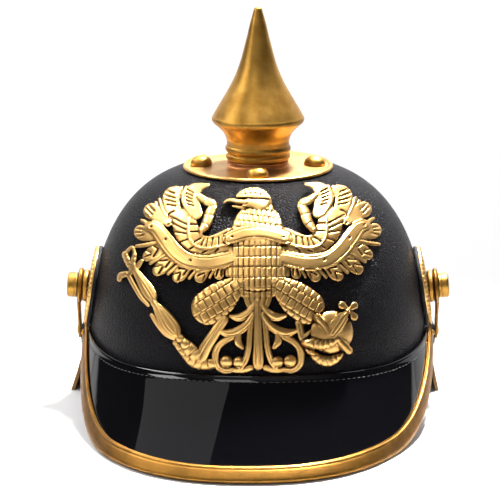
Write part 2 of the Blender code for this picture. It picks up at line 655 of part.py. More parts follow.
# Drawing of the eagle plate, seen from the front, in parts of its span from its centre: x to the
# right, y up. A stroke runs through its points; each point gives x, y and the stroke's half width.
# "level" is the height of the stroke's edge over the backing and "crown" how far its middle rises,
# in parts of the relief. A stroke with "both" is repeated in mirror on the other side.
DRAWING = {"span": 142.0, "half_width": 75.0, "half_height": 53.0, "relief": 4.4}
EAGLE_STROKES = (
    {"piece": "breast", "level": 1.2, "crown": 2.2, "both": False,
     "points": ((0, 21, 14.0), (0, 12, 15.5), (0, 2.5, 15.0))},
    {"piece": "shoulders", "level": 1.0, "crown": 1.5, "both": True,
     "points": ((0, 21.5, 3.5), (9, 20.5, 3.5), (14, 19.5, 3.5))},
    {"piece": "neck", "level": 1.2, "crown": 2.4, "both": False,
     "points": ((0, 25, 12.5), (0.3, 31, 9.0), (0.5, 36, 7.3), (0, 39, 6.6))},
    {"piece": "head", "level": 1.4, "crown": 2.6, "both": False,
     "points": ((1.0, 39, 5.6), (-3.5, 39.6, 4.0), (-7, 39.2, 3.0))},
    {"piece": "beak", "level": 1.0, "crown": 1.8, "both": False,
     "points": ((-6, 39.0, 3.2), (-11, 38.9, 2.3), (-15, 39.8, 1.2), (-17.6, 38.8, 0.7))},
    {"piece": "crown", "level": 1.4, "crown": 1.2, "both": False,
     "points": ((-9.5, 43.4, 1.5), (-2, 44.6, 2.2), (6.0, 43.2, 1.5))},
    {"piece": "wing_body", "level": 0.7, "crown": 1.2, "both": True,
     "points": ((14, 15, 7.5), (28, 15, 7.0), (37, 22, 9.5), (40, 31, 9.5))},
    {"piece": "wrist", "level": 1.4, "crown": 1.8, "both": True,
     "points": ((28, 43, 2.2), (24.3, 38.8, 2.6), (24.6, 33.5, 2.8), (26.5, 28.5, 2.3), (29, 24.5, 1.6))},
    {"piece": "first_plume", "level": 1.0, "crown": 0.8, "both": True,
     "points": ((33, 35, 5.0), (33, 43, 4.4), (30, 47.3, 3.0), (25.6, 48.2, 1.0))},
    {"piece": "second_plume", "level": 0.8, "crown": 0.8, "both": True,
     "points": ((40, 31, 5.0), (42.5, 38, 5.4), (43.5, 43.5, 5.0))},
    {"piece": "second_edge", "level": 0.6, "crown": 0.5, "both": True,
     "points": ((37, 36, 1.6), (38, 42, 1.6), (38.4, 47.4, 1.5))},
    {"piece": "third_plume", "level": 0.6, "crown": 0.8, "both": True,
     "points": ((46, 26, 4.0), (51, 31, 5.0), (54.2, 34.5, 5.0))},
    {"piece": "third_edge", "level": 0.5, "crown": 0.5, "both": True,
     "points": ((46, 31, 1.6), (48.5, 36, 1.6), (50.8, 39.7, 1.5))},
    {"piece": "fourth_plume", "level": 0.5, "crown": 0.7, "both": True,
     "points": ((48, 20.5, 3.2), (55, 21.6, 3.8), (59.2, 22.2, 4.2))},
    {"piece": "fourth_edge", "level": 0.5, "crown": 0.5, "both": True,
     "points": ((52, 26, 1.4), (57, 28, 1.4), (60.0, 29.0, 1.3))},
    {"piece": "ribbon", "level": 1.9, "crown": 0.5, "both": True,
     "points": ((13, 9.2, 3.2), (24, 7.4, 3.3), (33, 8.4, 3.4), (39.5, 11.6, 3.3), (44.5, 16.6, 3.2),
                (49, 22.6, 3.2), (53, 25.6, 2.6), (56.6, 25.4, 1.6))},
    {"piece": "low_plume_1", "level": 0.7, "crown": 0.6, "both": True,
     "points": ((47, 15, 3.8), (52, 11.8, 3.8), (55.6, 9.4, 2.4))},
    {"piece": "low_plume_1_edge", "level": 0.5, "crown": 0.4, "both": True,
     "points": ((50, 17.5, 1.6), (56, 16.2, 1.6), (60, 14.2, 1.4))},
    {"piece": "low_plume_2", "level": 0.7, "crown": 0.6, "both": True,
     "points": ((43, 9, 3.8), (47, 5, 4.0), (50, 2.8, 2.8))},
    {"piece": "low_plume_3", "level": 0.7, "crown": 0.6, "both": True,
     "points": ((35, 5, 3.8), (38.5, 1.5, 4.0), (40.4, -0.2, 2.8))},
    {"piece": "low_plume_4", "level": 0.7, "crown": 0.6, "both": True,
     "points": ((27, 4, 3.8), (29, 1.5, 3.8), (30.0, 0.3, 2.8))},
    {"piece": "low_plume_5", "level": 0.7, "crown": 0.6, "both": True,
     "points": ((18, 4.5, 3.4), (19.4, 2, 3.4), (20.0, 1.4, 2.6))},
    {"piece": "thigh", "level": 1.0, "crown": 1.9, "both": True,
     "points": ((9.5, -3.5, 2.6), (17, -9.5, 7.4), (25, -15, 9.4), (27.5, -17.5, 8.0))},
    {"piece": "tail_root", "level": 1.2, "crown": 1.0, "both": False,
     "points": ((0, 1, 8.5), (0, -6, 6.4), (0, -9, 7.6), (0, -12, 6.6))},
    {"piece": "tail_spine", "level": 1.0, "crown": 1.6, "both": False,
     "points": ((0, -12, 2.4), (0, -22, 2.9), (0, -34, 3.4), (0, -43.5, 3.6))},
    {"piece": "tail_rib", "level": 0.9, "crown": 1.3, "both": True,
     "points": ((2.4, -18, 1.4), (3.6, -30, 1.5), (5.2, -39, 1.6), (8.4, -45.6, 1.3))},
    {"piece": "upper_curl", "level": 0.8, "crown": 1.4, "both": True,
     "points": ((2, -14, 1.8), (5.4, -18.6, 2.1), (9.4, -20.6, 2.1), (13.8, -19.8, 1.2))},
    {"piece": "middle_curl", "level": 0.8, "crown": 1.6, "both": True,
     "points": ((2.4, -18.5, 1.9), (7.5, -26, 2.3), (13.5, -29.6, 2.5), (19.6, -27.2, 1.1))},
    {"piece": "inner_drop", "level": 0.8, "crown": 1.2, "both": True,
     "points": ((11.2, -28.5, 1.2), (10.6, -33.4, 1.9), (8.4, -36.2, 1.2))},
    {"piece": "outer_scroll", "level": 0.8, "crown": 1.3, "both": True,
     "points": ((12.5, -29, 1.7), (18, -33.6, 1.7), (21, -39, 1.7), (21.2, -44, 1.7), (18.6, -48, 1.7),
                (14.0, -48.2, 1.5))},
    {"piece": "outer_ball", "level": 0.8, "crown": 2.4, "both": True,
     "points": ((16.4, -43.6, 3.5), (16.6, -43.6, 3.5))},
    {"piece": "inner_ball", "level": 0.8, "crown": 2.2, "both": True,
     "points": ((9.8, -43.8, 3.2), (10.0, -43.8, 3.2))},
    {"piece": "tail_foot", "level": 0.8, "crown": 0.8, "both": True,
     "points": ((4.0, -46.6, 1.8), (8, -47.4, 1.9), (13.5, -47.6, 1.7))},
    {"piece": "left_shank", "level": 0.9, "crown": 1.4, "both": False,
     "points": ((-21.5, -23.5, 2.1), (-26.5, -32, 2.1), (-31, -41, 2.5))},
    {"piece": "left_foot", "level": 0.9, "crown": 1.3, "both": False,
     "points": ((-20.5, -46, 2.0), (-27, -45.6, 2.2), (-33, -43.6, 2.4), (-37, -39, 2.2))},
    {"piece": "sceptre_grip", "level": 0.9, "crown": 1.6, "both": False,
     "points": ((-31, -41, 3.2), (-36, -35.6, 3.4), (-38, -33, 2.4))},
    {"piece": "sceptre_bead", "level": 0.9, "crown": 1.6, "both": False,
     "points": ((-39.4, -31.4, 2.3), (-39.6, -31.2, 2.3))},
    {"piece": "sceptre_lower_leaf", "level": 0.9, "crown": 2.2, "both": False,
     "points": ((-41.6, -28.8, 2.6), (-44.0, -24.4, 4.4), (-47.6, -19.6, 4.4), (-51.0, -15.2, 3.0))},
    {"piece": "sceptre_upper_leaf", "level": 0.9, "crown": 1.8, "both": False,
     "points": ((-51.6, -14.4, 2.0), (-54, -10.6, 3.4), (-57.4, -5.6, 3.4), (-60.6, -0.4, 2.2),
                (-62.4, 3.4, 1.7))},
    {"piece": "sceptre_head", "level": 0.9, "crown": 1.2, "both": False,
     "points": ((-62.4, 3.4, 1.8), (-65.0, 8, 1.9), (-67.0, 11.4, 1.5))},
    {"piece": "sceptre_left_curl", "level": 0.8, "crown": 1.0, "both": False,
     "points": ((-63, 2.4, 1.6), (-66.8, 1.6, 1.7), (-70.0, 3.2, 1.7), (-70.6, -0.4, 1.3))},
    {"piece": "sceptre_right_curl", "level": 0.8, "crown": 1.0, "both": False,
     "points": ((-62.2, 3.8, 1.4), (-61.2, 8.6, 1.5), (-58.2, 6.4, 1.3))},
    {"piece": "right_shank", "level": 0.9, "crown": 1.3, "both": False,
     "points": ((21.5, -23.5, 2.1), (24, -29, 2.3), (25.5, -34.6, 2.3), (27.4, -40.4, 2.4))},
    {"piece": "orb", "level": 1.0, "crown": 3.4, "both": False,
     "points": ((37.2, -29.4, 11.0), (37.4, -29.4, 11.0))},
    {"piece": "orb_cross_stem", "level": 0.9, "crown": 0.8, "both": False,
     "points": ((42.0, -23.6, 1.6), (48.6, -15.6, 2.0))},
    {"piece": "orb_cross_arms", "level": 0.9, "crown": 0.8, "both": False,
     "points": ((42.4, -15.8, 2.0), (45.4, -18.6, 1.2), (48.8, -22.0, 2.0))},
    {"piece": "upper_toe", "level": 2.6, "crown": 1.6, "both": False,
     "points": ((24.6, -33.2, 2.0), (29.4, -35.6, 2.3), (34.4, -35.6, 2.0), (38.6, -33.2, 1.2))},
    {"piece": "lower_toe", "level": 1.0, "crown": 1.6, "both": False,
     "points": ((26.6, -39.2, 2.2), (30.6, -43.0, 2.5), (35.4, -43.6, 2.3), (40.4, -40.6, 1.4))},
)


def stroke_copies():
    """Each stroke once, and once more in mirror where it is on both sides."""
    for stroke in EAGLE_STROKES:
        points = np.array(stroke["points"], dtype=float) * EAGLE_SPAN / DRAWING["span"]
        yield stroke, points
        if stroke["both"]:
            yield stroke, points * np.array([-1.0, 1.0, 1.0])


def smooth_route(points, steps=5):
    """Points along a Catmull-Rom curve through the given points, whatever their columns."""
    if len(points) < 3:
        return points
    ends = np.vstack([2.0 * points[0] - points[1], points, 2.0 * points[-1] - points[-2]])
    before, start, stop, after = (ends[k:len(ends) - 3 + k, None] for k in range(4))
    t = (np.arange(steps) / steps)[None, :, None]
    slope = stop - before
    bend = 2.0 * before - 5.0 * start + 4.0 * stop - after
    twist = 3.0 * start - before - 3.0 * stop + after
    curve = 0.5 * (2.0 * start + slope * t + bend * t ** 2 + twist * t ** 3)
    return np.vstack([curve.reshape(-1, points.shape[1]), points[-1:]])


def stroke_depth(across, up, points):
    """How far each grid point lies inside a stroke, and the stroke's half width there."""
    route = smooth_route(points)
    depth = np.full(across.shape, -1.0)
    width = np.full(across.shape, 1.0)
    for start, stop in zip(route[:-1], route[1:]):
        step = stop[:2] - start[:2]
        length = float(step @ step) or 1e-12
        share = np.clip(((across - start[0]) * step[0] + (up - start[1]) * step[1]) / length, 0.0, 1.0)
        half = start[2] + (stop[2] - start[2]) * share
        distance = np.hypot(across - start[0] - share * step[0], up - start[1] - share * step[1])
        nearer = half - distance > depth
        depth = np.where(nearer, half - distance, depth)
        width = np.where(nearer, half, width)
    return depth, width


def eagle_relief():
    """Grid of the drawing: how far each point is inside it, and its height over the shell."""
    half_width = DRAWING["half_width"] * EAGLE_SPAN / DRAWING["span"]
    half_height = DRAWING["half_height"] * EAGLE_SPAN / DRAWING["span"]
    relief = EAGLE_RELIEF / DRAWING["relief"]
    columns = int(round(2.0 * half_width / EAGLE_CELL)) + 1
    rows = int(round(2.0 * half_height / EAGLE_CELL)) + 1
    across, up = np.meshgrid(np.linspace(-half_width, half_width, columns),
                             np.linspace(-half_height, half_height, rows))
    inside = np.full(across.shape, -1.0)
    height = np.full(across.shape, EAGLE_BACKING)
    for stroke, points in stroke_copies():
        depth, width = stroke_depth(across, up, points)
        swell = np.sqrt(np.clip(1.0 - (1.0 - np.clip(depth / width, 0.0, 1.0)) ** 2, 0.0, 1.0))
        top = EAGLE_BACKING + relief * (stroke["level"] + stroke["crown"] * swell)
        height = np.where(depth > -1.5 * EAGLE_CELL, np.maximum(height, top), height)
        inside = np.maximum(inside, depth)
    return across, up, inside, height


def on_front(across, up, offset):
    """Carry drawing points along the drawing's normal to the shell, then out by an offset."""
    lean_y, lean_z = math.sin(EAGLE_LEAN), math.cos(EAGLE_LEAN)
    middle_y = float(front_depth(np.array(0.0), np.array(EAGLE_CENTRE_Z)))
    height = EAGLE_CENTRE_Z + up * lean_z
    for _ in range(12):
        depth = front_depth(across, height)
        height = EAGLE_CENTRE_Z + (up - (depth - middle_y) * lean_y) / lean_z
    step = SLOPE_STEP
    slope_x = (front_depth(across + step, height) - front_depth(across - step, height)) / (2.0 * step)
    slope_z = (front_depth(across, height + step) - front_depth(across, height - step)) / (2.0 * step)
    normal = unit(np.stack([slope_x, -np.ones_like(slope_x), slope_z], axis=-1))
    return np.stack([across, depth, height], axis=-1) + offset[..., None] * normal


def cut_sheet(inside):
    """Triangles of the part of a grid where inside is positive, cut along its outline.

    Returns grid corner pairs and a share between them for each vertex, the triangles, and the
    outline's edges in the triangles' own direction.
    """
    rows, columns = inside.shape
    value = np.where(np.abs(inside) < 1e-6, 1e-6, inside).ravel()
    index = np.arange(rows * columns).reshape(rows, columns)
    a, b = index[:-1, :-1].ravel(), index[:-1, 1:].ravel()
    c, d = index[1:, 1:].ravel(), index[1:, :-1].ravel()
    corners = np.concatenate([np.stack([a, b, c], axis=1), np.stack([a, c, d], axis=1)])
    vertices, triangles, outline = {}, [], []

    def corner(p):
        return vertices.setdefault((int(p), int(p)), len(vertices))

    def crossing(p, q):
        return vertices.setdefault((int(min(p, q)), int(max(p, q))), len(vertices))

    positive = (value[corners] > 0.0).sum(axis=1)
    for triangle in corners[positive == 3]:
        triangles.append([corner(p) for p in triangle])
    for triangle in corners[(positive == 1) | (positive == 2)]:
        signs = value[triangle] > 0.0
        lone = int(np.argmax(signs)) if signs.sum() == 1 else int(np.argmin(signs))
        p, q, r = triangle[lone], triangle[(lone + 1) % 3], triangle[(lone + 2) % 3]
        first, second = crossing(p, q), crossing(p, r)
        if signs.sum() == 1:
            triangles.append([corner(p), first, second])
            outline.append((first, second))
        else:
            triangles.append([first, corner(q), corner(r)])
            triangles.append([first, corner(r), second])
            outline.append((second, first))
    pairs = np.array(list(vertices))
    low, high = value[pairs[:, 0]], value[pairs[:, 1]]
    share = np.where(pairs[:, 0] == pairs[:, 1], 0.0, low / np.where(low == high, 1.0, low - high))
    return pairs, np.clip(share, 0.02, 0.98), np.array(triangles), outline


def make_eagle():
    """The eagle: the drawing's relief as a solid that follows the shell, with fewer facets."""
    across, up, inside, height = eagle_relief()
    pairs, share, triangles, outline = cut_sheet(inside)
    share = np.where(pairs[:, 0] == pairs[:, 1], 0.0, share)

    def along_edges(grid):
        flat = grid.ravel()
        return flat[pairs[:, 0]] * (1.0 - share) + flat[pairs[:, 1]] * share

    x, y, top = along_edges(across), along_edges(up), along_edges(height)
    front = on_front(x, y, GAP + top)
    back = on_front(x, y, np.full_like(top, 1.5 * GAP))
    count = len(front)
    faces = [tuple(t) for t in triangles.tolist()]
    faces += [(t[0] + count, t[2] + count, t[1] + count) for t in triangles.tolist()]
    faces += [(q, p, p + count, q + count) for p, q in outline]
    eagle = solid("eagle_plate", np.vstack([front, back]), faces, "cast_gilt_brass", crease=40.0,
                  turn_out=False)
    thin = eagle.modifiers.new("fewer facets", "DECIMATE")
    thin.ratio = EAGLE_FACETS_KEPT
    thin.use_collapse_triangulate = True
    return eagle


def centre_on_origin():
    """Move every piece along Y so that the helmet's box has its middle over the origin."""
    along = np.concatenate([[vertex.co.y for vertex in piece.data.vertices] for piece in bpy.data.objects])
    middle = 0.5 * float(along.min() + along.max())
    for piece in bpy.data.objects:
        piece.location.y = -middle


def build():
    """Make every piece of the helmet."""
    clear_scene()
    make_shell()
    make_visor("front_visor", front_edge(), "patent_leather", level_edge=False)
    make_visor("rear_visor", rear_edge(), "rear_leather", level_edge=True)
    make_trim()
    make_plate()
    make_studs()
    make_spike()
    make_eagle()
    make_strap()
    for side, word in ((-1.0, "right"), (1.0, "left")):
        make_side_fittings(side, word)
    centre_on_origin()


build()
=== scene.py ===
# %% [markdown]
# # A spiked parade helmet
#
# The helmet is a pressed leather bowl with two peaks, a brass spike on a round plate, a cast eagle on
# the front and a chin strap on turned knobs. Its CAD model is loaded as a fixed frame. This script
# gives each piece the fine shape and the finish that the real one has, in the same place.

# %% Load the frame
import math

import bpy
import numpy as np
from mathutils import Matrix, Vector


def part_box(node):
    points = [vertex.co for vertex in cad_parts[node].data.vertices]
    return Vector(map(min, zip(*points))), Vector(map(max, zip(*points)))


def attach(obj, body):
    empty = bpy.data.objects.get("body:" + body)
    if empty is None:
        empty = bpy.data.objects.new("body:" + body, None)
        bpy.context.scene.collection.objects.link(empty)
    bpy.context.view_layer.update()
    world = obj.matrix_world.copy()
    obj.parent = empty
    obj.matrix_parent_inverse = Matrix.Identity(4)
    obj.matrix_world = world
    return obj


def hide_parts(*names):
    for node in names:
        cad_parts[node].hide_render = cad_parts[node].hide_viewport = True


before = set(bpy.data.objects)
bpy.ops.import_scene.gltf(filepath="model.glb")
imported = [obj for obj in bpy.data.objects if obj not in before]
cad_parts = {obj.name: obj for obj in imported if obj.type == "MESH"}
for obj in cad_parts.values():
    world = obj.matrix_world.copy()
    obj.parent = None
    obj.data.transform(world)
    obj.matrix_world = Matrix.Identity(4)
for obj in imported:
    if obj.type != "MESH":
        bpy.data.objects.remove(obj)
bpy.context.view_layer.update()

spike_low, spike_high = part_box("spike")
AXIS_Y = 0.5 * (spike_low.y + spike_high.y)
print("CAD nodes:", len(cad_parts), "spike axis at y", round(AXIS_Y, 5))

# %% [markdown]
# ## From arrays to meshes
#
# Nearly every piece is a grid of points: rings that follow one another along a path. A grid can be
# made by hand, by extruding an edge loop, but as a formula it stays even and can be changed in one
# place. `skin` joins neighbouring rings with quads, and closes the two ends. `piece` turns the result
# into an object, with its faces outwards, and hides the CAD nodes that it stands for.

# %% Grids and skins


def skin(rings, ends="poles", closed=False):
    """Points and faces of a tube through rings, an array (rows, sides, 3).

    Ends "poles" closes each end with a fan to its middle. Ends "zip" joins the first half of the end
    ring to its second half, as for a folded sheet. Closed joins the last ring to the first.
    """
    rows, sides = rings.shape[:2]
    index = np.arange(rows * sides).reshape(rows, sides)
    here = index if closed else index[:-1]
    there = np.roll(index, -1, axis=0) if closed else index[1:]
    quads = np.stack([here, np.roll(here, -1, axis=1), np.roll(there, -1, axis=1), there], axis=-1)
    faces = quads.reshape(-1, 4).tolist()
    points = rings.reshape(-1, 3)
    if closed:
        return points, faces
    if ends == "poles":
        first = np.full(sides, rows * sides)
        faces += np.stack([np.roll(index[0], -1), index[0], first], axis=-1).tolist()
        faces += np.stack([index[-1], np.roll(index[-1], -1), first + 1], axis=-1).tolist()
        return np.vstack([points, rings[0].mean(axis=0), rings[-1].mean(axis=0)]), faces
    near = np.arange(sides // 2 - 1)
    far = sides - 1 - near
    start = np.stack([index[0][near], index[0][far], index[0][far - 1], index[0][near + 1]], axis=-1)
    stop = np.stack([index[-1][near], index[-1][near + 1], index[-1][far - 1], index[-1][far]], axis=-1)
    return points, faces + start.tolist() + stop.tolist()


def joined(*parts):
    """Several (points, faces) put into one."""
    points, faces, count = [], [], 0
    for part_points, part_faces in parts:
        points.append(part_points)
        faces += [[v + count for v in face] for face in part_faces]
        count += len(part_points)
    return np.vstack(points), faces


def unit(vectors):
    """Scale an array of vectors to length 1."""
    return vectors / np.linalg.norm(vectors, axis=-1, keepdims=True)


def travelled(points):
    """Distance along each row of points, from the row's start."""
    steps = np.linalg.norm(np.diff(points, axis=-2), axis=-1)
    return np.concatenate([np.zeros(steps.shape[:-1] + (1,)), np.cumsum(steps, axis=-1)], axis=-1)


def full_turn(count):
    """Angles of a full turn in even steps."""
    return np.arange(count) / count * 2.0 * math.pi


def swelling(share):
    """Height of a round ridge, where share goes from 0 at its foot to 1 on its top."""
    return np.sqrt(np.clip(1.0 - (1.0 - share) ** 2, 0.0, 1.0))


# %% Pieces


def enclosed(points, faces):
    """Volume inside the faces: positive where they point outwards. Each is cut into triangles."""
    total = 0.0
    for sides in (3, 4):
        corners = np.array([face for face in faces if len(face) == sides], dtype=int).reshape(-1, sides)
        for k in range(1, sides - 1):
            a, b, c = (points[corners[:, i]] for i in (0, k, k + 1))
            total += float(np.einsum("ij,ij->", a, np.cross(b, c)))
    return total / 6.0


def piece(name, shape, material, nodes, crease=40.0):
    """Make one object of a shape drawn about the spike's axis; it replaces the named CAD nodes."""
    points, faces = shape
    if enclosed(points, faces) < 0.0:
        faces = [face[::-1] for face in faces]
    mesh = bpy.data.meshes.new(name)
    mesh.from_pydata((points + np.array([0.0, AXIS_Y, 0.0])).tolist(), [], faces)
    mesh.shade_smooth()
    mesh.set_sharp_from_angle(angle=math.radians(crease))
    mesh.materials.append(material)
    made = bpy.data.objects.new(name, mesh)
    bpy.context.scene.collection.objects.link(made)
    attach(made, "root")
    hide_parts(*nodes)
    print(f"{name}: {len(points)} points, {len(faces)} faces")
    return made


def of_faces(made, what):
    """Centre ("center") or normal ("normal") of each face, about the spike's axis."""
    values = np.empty(len(made.data.polygons) * 3)
    made.data.polygons.foreach_get(what, values)
    return values.reshape(-1, 3) - np.array([0.0, AXIS_Y if what == "center" else 0.0, 0.0])


def paint(made, material, chosen):
    """Give the chosen faces a second material."""
    made.data.materials.append(material)
    made.data.polygons.foreach_set("material_index", chosen.astype(int))
    print(f"{made.name}: {int(chosen.sum())} faces in {material.name}")


# %% [markdown]
# ## Finishes
#
# Each finish is a Principled BSDF with a few texture nodes. Colours are written as the hex codes
# that a paint program shows, and turned to the linear values that the renderer works with.

# %% Helpers for materials


def linear(code):
    """Linear colour of an sRGB hex code."""
    share = np.array([int(code[i:i + 2], 16) for i in (1, 3, 5)]) / 255.0
    value = np.where(share <= 0.04045, share / 12.92, ((share + 0.055) / 1.055) ** 2.4)
    return (*value.tolist(), 1.0)


def fill(node, inputs):
    """Set a node's inputs. Each is a value, or another node's output to link."""
    for name, value in inputs.items():
        if isinstance(value, bpy.types.NodeSocket):
            node.id_data.links.new(value, node.inputs[name])
        else:
            node.inputs[name].default_value = value


def add_node(tree, kind, inputs, **settings):
    """Add one node with its settings and inputs; returns its outputs."""
    node = tree.nodes.new(kind)
    for name, value in settings.items():
        setattr(node, name, value)
    fill(node, inputs)
    return node.outputs


def new_finish(name, colour, roughness, **sockets):
    """A material with its shader's constants set; returns it, its shader, its nodes and their place."""
    material = bpy.data.materials.new(name)
    material.use_nodes = True
    tree = material.node_tree
    shader = tree.nodes["Principled BSDF"]
    fill(shader, {"Base Color": linear(colour), "Roughness": roughness})
    fill(shader, {socket.replace("_", " "): value for socket, value in sockets.items()})
    return material, shader, tree, add_node(tree, "ShaderNodeTexCoord", {})["Object"]


def per_mm(size):
    """Scale of a texture whose features are this many millimetres across."""
    return 1000.0 / size


print("textures are scaled per metre: 1 mm is", per_mm(1.0))

# %% [markdown]
# ### Leather
#
# The bowl is cowhide pressed over a block, with a pebbled grain: small round cushions about a
# millimetre across. Grain this fine is cheaper as bump than as mesh. The front peak is patent
# leather: dyed leather under a thick clear varnish, so it gets a coat over a dark base.

# %% Leather finishes


def pebbled_leather():
    """Dyed, grained cowhide. The grain breaks the light into small sparks; hollows stay matt."""
    material, shader, tree, place = new_finish("pebbled black cowhide", "#0b0a0c", 0.30,
                                               Specular_IOR_Level=0.03)
    warp = add_node(tree, "ShaderNodeTexNoise", {"Vector": place, "Scale": per_mm(2.5),
                                                 "Detail": 2.0})["Color"]
    moved = add_node(tree, "ShaderNodeVectorMath", {0: warp, 1: (0.0007, 0.0007, 0.0007), 2: place},
                     operation="MULTIPLY_ADD")[0]
    cushions = add_node(tree, "ShaderNodeTexVoronoi", {"Vector": moved, "Scale": per_mm(1.1),
                                                       "Smoothness": 0.35}, feature="SMOOTH_F1")
    fine = add_node(tree, "ShaderNodeTexNoise", {"Vector": place, "Scale": per_mm(0.55),
                                                 "Detail": 2.0})["Fac"]
    height = add_node(tree, "ShaderNodeMath", {0: cushions["Distance"], 1: -1.0, 2: fine},
                      operation="MULTIPLY_ADD")[0]
    patches = add_node(tree, "ShaderNodeTexNoise", {"Vector": place, "Scale": per_mm(22.0),
                                                    "Detail": 3.0})["Fac"]
    tint = add_node(tree, "ShaderNodeMix", {"Factor": patches, "A": linear("#0a090b"),
                                            "B": linear("#111012")}, data_type="RGBA")[2]
    gloss = add_node(tree, "ShaderNodeMapRange", {"Value": fine, "To Min": 0.22, "To Max": 0.36})[0]
    bump = add_node(tree, "ShaderNodeBump", {"Height": height, "Strength": 1.0, "Distance": 0.0006})[0]
    fill(shader, {"Base Color": tint, "Roughness": gloss, "Normal": bump})
    return material


def patent_leather():
    """Varnished leather: deep black under a clear coat that mirrors the room, a little wavy."""
    material, shader, tree, place = new_finish("black patent leather", "#050507", 0.60, Coat_Weight=1.0,
                                               Coat_Roughness=0.03, Specular_IOR_Level=0.0)
    swell = add_node(tree, "ShaderNodeTexNoise", {"Vector": place, "Scale": per_mm(26.0),
                                                  "Detail": 1.0})["Fac"]
    waves = add_node(tree, "ShaderNodeBump", {"Height": swell, "Strength": 0.05, "Distance": 0.0007})[0]
    fill(shader, {"Normal": waves, "Coat Normal": waves})
    return material


def smooth_leather(name, dark, light, low, high, grain=0.8):
    """Plain dyed leather, rolled smooth: a faint grain, and colour that varies a little."""
    material, shader, tree, place = new_finish(name, dark, low, Specular_IOR_Level=0.25)
    pores = add_node(tree, "ShaderNodeTexNoise", {"Vector": place, "Scale": per_mm(grain),
                                                  "Detail": 3.0})["Fac"]
    patches = add_node(tree, "ShaderNodeTexNoise", {"Vector": place, "Scale": per_mm(9.0),
                                                    "Detail": 4.0})["Fac"]
    tint = add_node(tree, "ShaderNodeMix", {"Factor": patches, "A": linear(dark), "B": linear(light)},
                    data_type="RGBA")[2]
    gloss = add_node(tree, "ShaderNodeMapRange", {"Value": pores, "To Min": low, "To Max": high})[0]
    bump = add_node(tree, "ShaderNodeBump", {"Height": pores, "Strength": 0.25, "Distance": 0.0001})[0]
    fill(shader, {"Base Color": tint, "Roughness": gloss, "Normal": bump})
    return material


COWHIDE = pebbled_leather()
PATENT = patent_leather()
REAR_HIDE = smooth_leather("black bridle leather", "#121113", "#1d1b1c", 0.28, 0.45)
TAN_HIDE = smooth_leather("undyed tan leather", "#7c5630", "#96703f", 0.60, 0.80)
STRAP_HIDE = smooth_leather("black strap leather", "#141214", "#201d1e", 0.42, 0.60)
DISC_HIDE = smooth_leather("matt black harness leather", "#0f0d10", "#1a171a", 0.60, 0.78)
print("leather finishes made")

# %% [markdown]
# ### Brass
#
# The eagle is cast and gilt: satin on its raised forms. Its hollows get painted shade, a dull brown
# that darkens them, and flat parts a little; the mesh carries a value for it. The other metal is turned
# or spun brass, brushed to a satin sheen round its own axis.

# %% Brass finishes


def satin_brass(name, bright, deep, low, high, streak):
    """Brushed brass. Long, thin noise draws the brush marks that stretch its highlights."""
    material, shader, tree, place = new_finish(name, bright, low, Metallic=1.0)
    brushed = add_node(tree, "ShaderNodeMapping", {"Vector": place, "Scale": streak})[0]
    marks = add_node(tree, "ShaderNodeTexNoise", {"Vector": brushed, "Scale": per_mm(0.6),
                                                  "Detail": 3.0})["Fac"]
    patches = add_node(tree, "ShaderNodeTexNoise", {"Vector": place, "Scale": per_mm(8.0), "Detail": 4.0,
                                                    "Roughness": 0.6})["Fac"]
    worn = add_node(tree, "ShaderNodeMapRange", {"Value": patches, "From Min": 0.35,
                                                 "From Max": 0.70})[0]
    tint = add_node(tree, "ShaderNodeMix", {"Factor": worn, "A": linear(bright), "B": linear(deep)},
                    data_type="RGBA")[2]
    gloss = add_node(tree, "ShaderNodeMapRange", {"Value": marks, "From Min": 0.3, "From Max": 0.7,
                                                  "To Min": low, "To Max": high})[0]
    bump = add_node(tree, "ShaderNodeBump", {"Height": marks, "Strength": 0.06, "Distance": 0.00006})[0]
    fill(shader, {"Base Color": tint, "Roughness": gloss, "Normal": bump})
    return material


def gilt_casting():
    """Gilt cast brass: bright satin ridges, and painted shade in the hollows, brown and rough."""
    material, shader, tree, place = new_finish("gilt cast brass", "#e6c78e", 0.42, Metallic=1.0)
    # Painted shade: a value on the mesh mixes the gold towards dark brown in the hollows and on the back
    shade_amount = add_node(tree, "ShaderNodeAttribute", {}, attribute_name="painted_shade")["Fac"]
    sand = add_node(tree, "ShaderNodeTexNoise", {"Vector": place, "Scale": per_mm(0.7),
                                                 "Detail": 3.0})["Fac"]
    patches = add_node(tree, "ShaderNodeTexNoise", {"Vector": place, "Scale": per_mm(14.0),
                                                    "Detail": 3.0})["Fac"]
    gold = add_node(tree, "ShaderNodeMix", {"Factor": patches, "A": linear("#e2bb76"),
                                            "B": linear("#c99650")}, data_type="RGBA")[2]
    # The painted shade's colour, dark brown where the value is 1
    tint = add_node(tree, "ShaderNodeMix", {"Factor": shade_amount, "A": gold, "B": linear("#351a09")},
                    data_type="RGBA")[2]
    gloss = add_node(tree, "ShaderNodeMapRange", {"Value": shade_amount, "To Min": 0.33, "To Max": 0.65})[0]
    bump = add_node(tree, "ShaderNodeBump", {"Height": sand, "Strength": 0.18, "Distance": 0.00008})[0]
    fill(shader, {"Base Color": tint, "Roughness": gloss, "Normal": bump})
    return material


TURNED_BRASS = satin_brass("turned satin brass", "#b88c42", "#9a702c", 0.37, 0.45, (0.08, 0.08, 1.0))
SPUN_BRASS = satin_brass("spun satin brass", "#deb270", "#be8e48", 0.30, 0.42, (1.0, 1.0, 1.0))
ROLLED_BRASS = satin_brass("rolled satin brass", "#8a6027", "#72501f", 0.36, 0.48, (1.0, 1.0, 0.3))
GILT_CASTING = gilt_casting()
# Painted shade: a darker, browner copy of the brass, for the collar under the spike
COLLAR_PAINTED_SHADE = satin_brass("brass with painted shade", "#b07a4e", "#8a5a38", 0.38, 0.50, (0.2, 0.2, 1.0))
print("brass finishes made")

# %% [markdown]
# ## The bowl
#
# The real bowl is one piece of wet leather stretched over a wooden block: an upright band under an
# oval dome. A lathe can't make it, because it is longer than it is wide, so each ring is an oval and
# the rings follow the dome's profile, down the inside and up the outside.

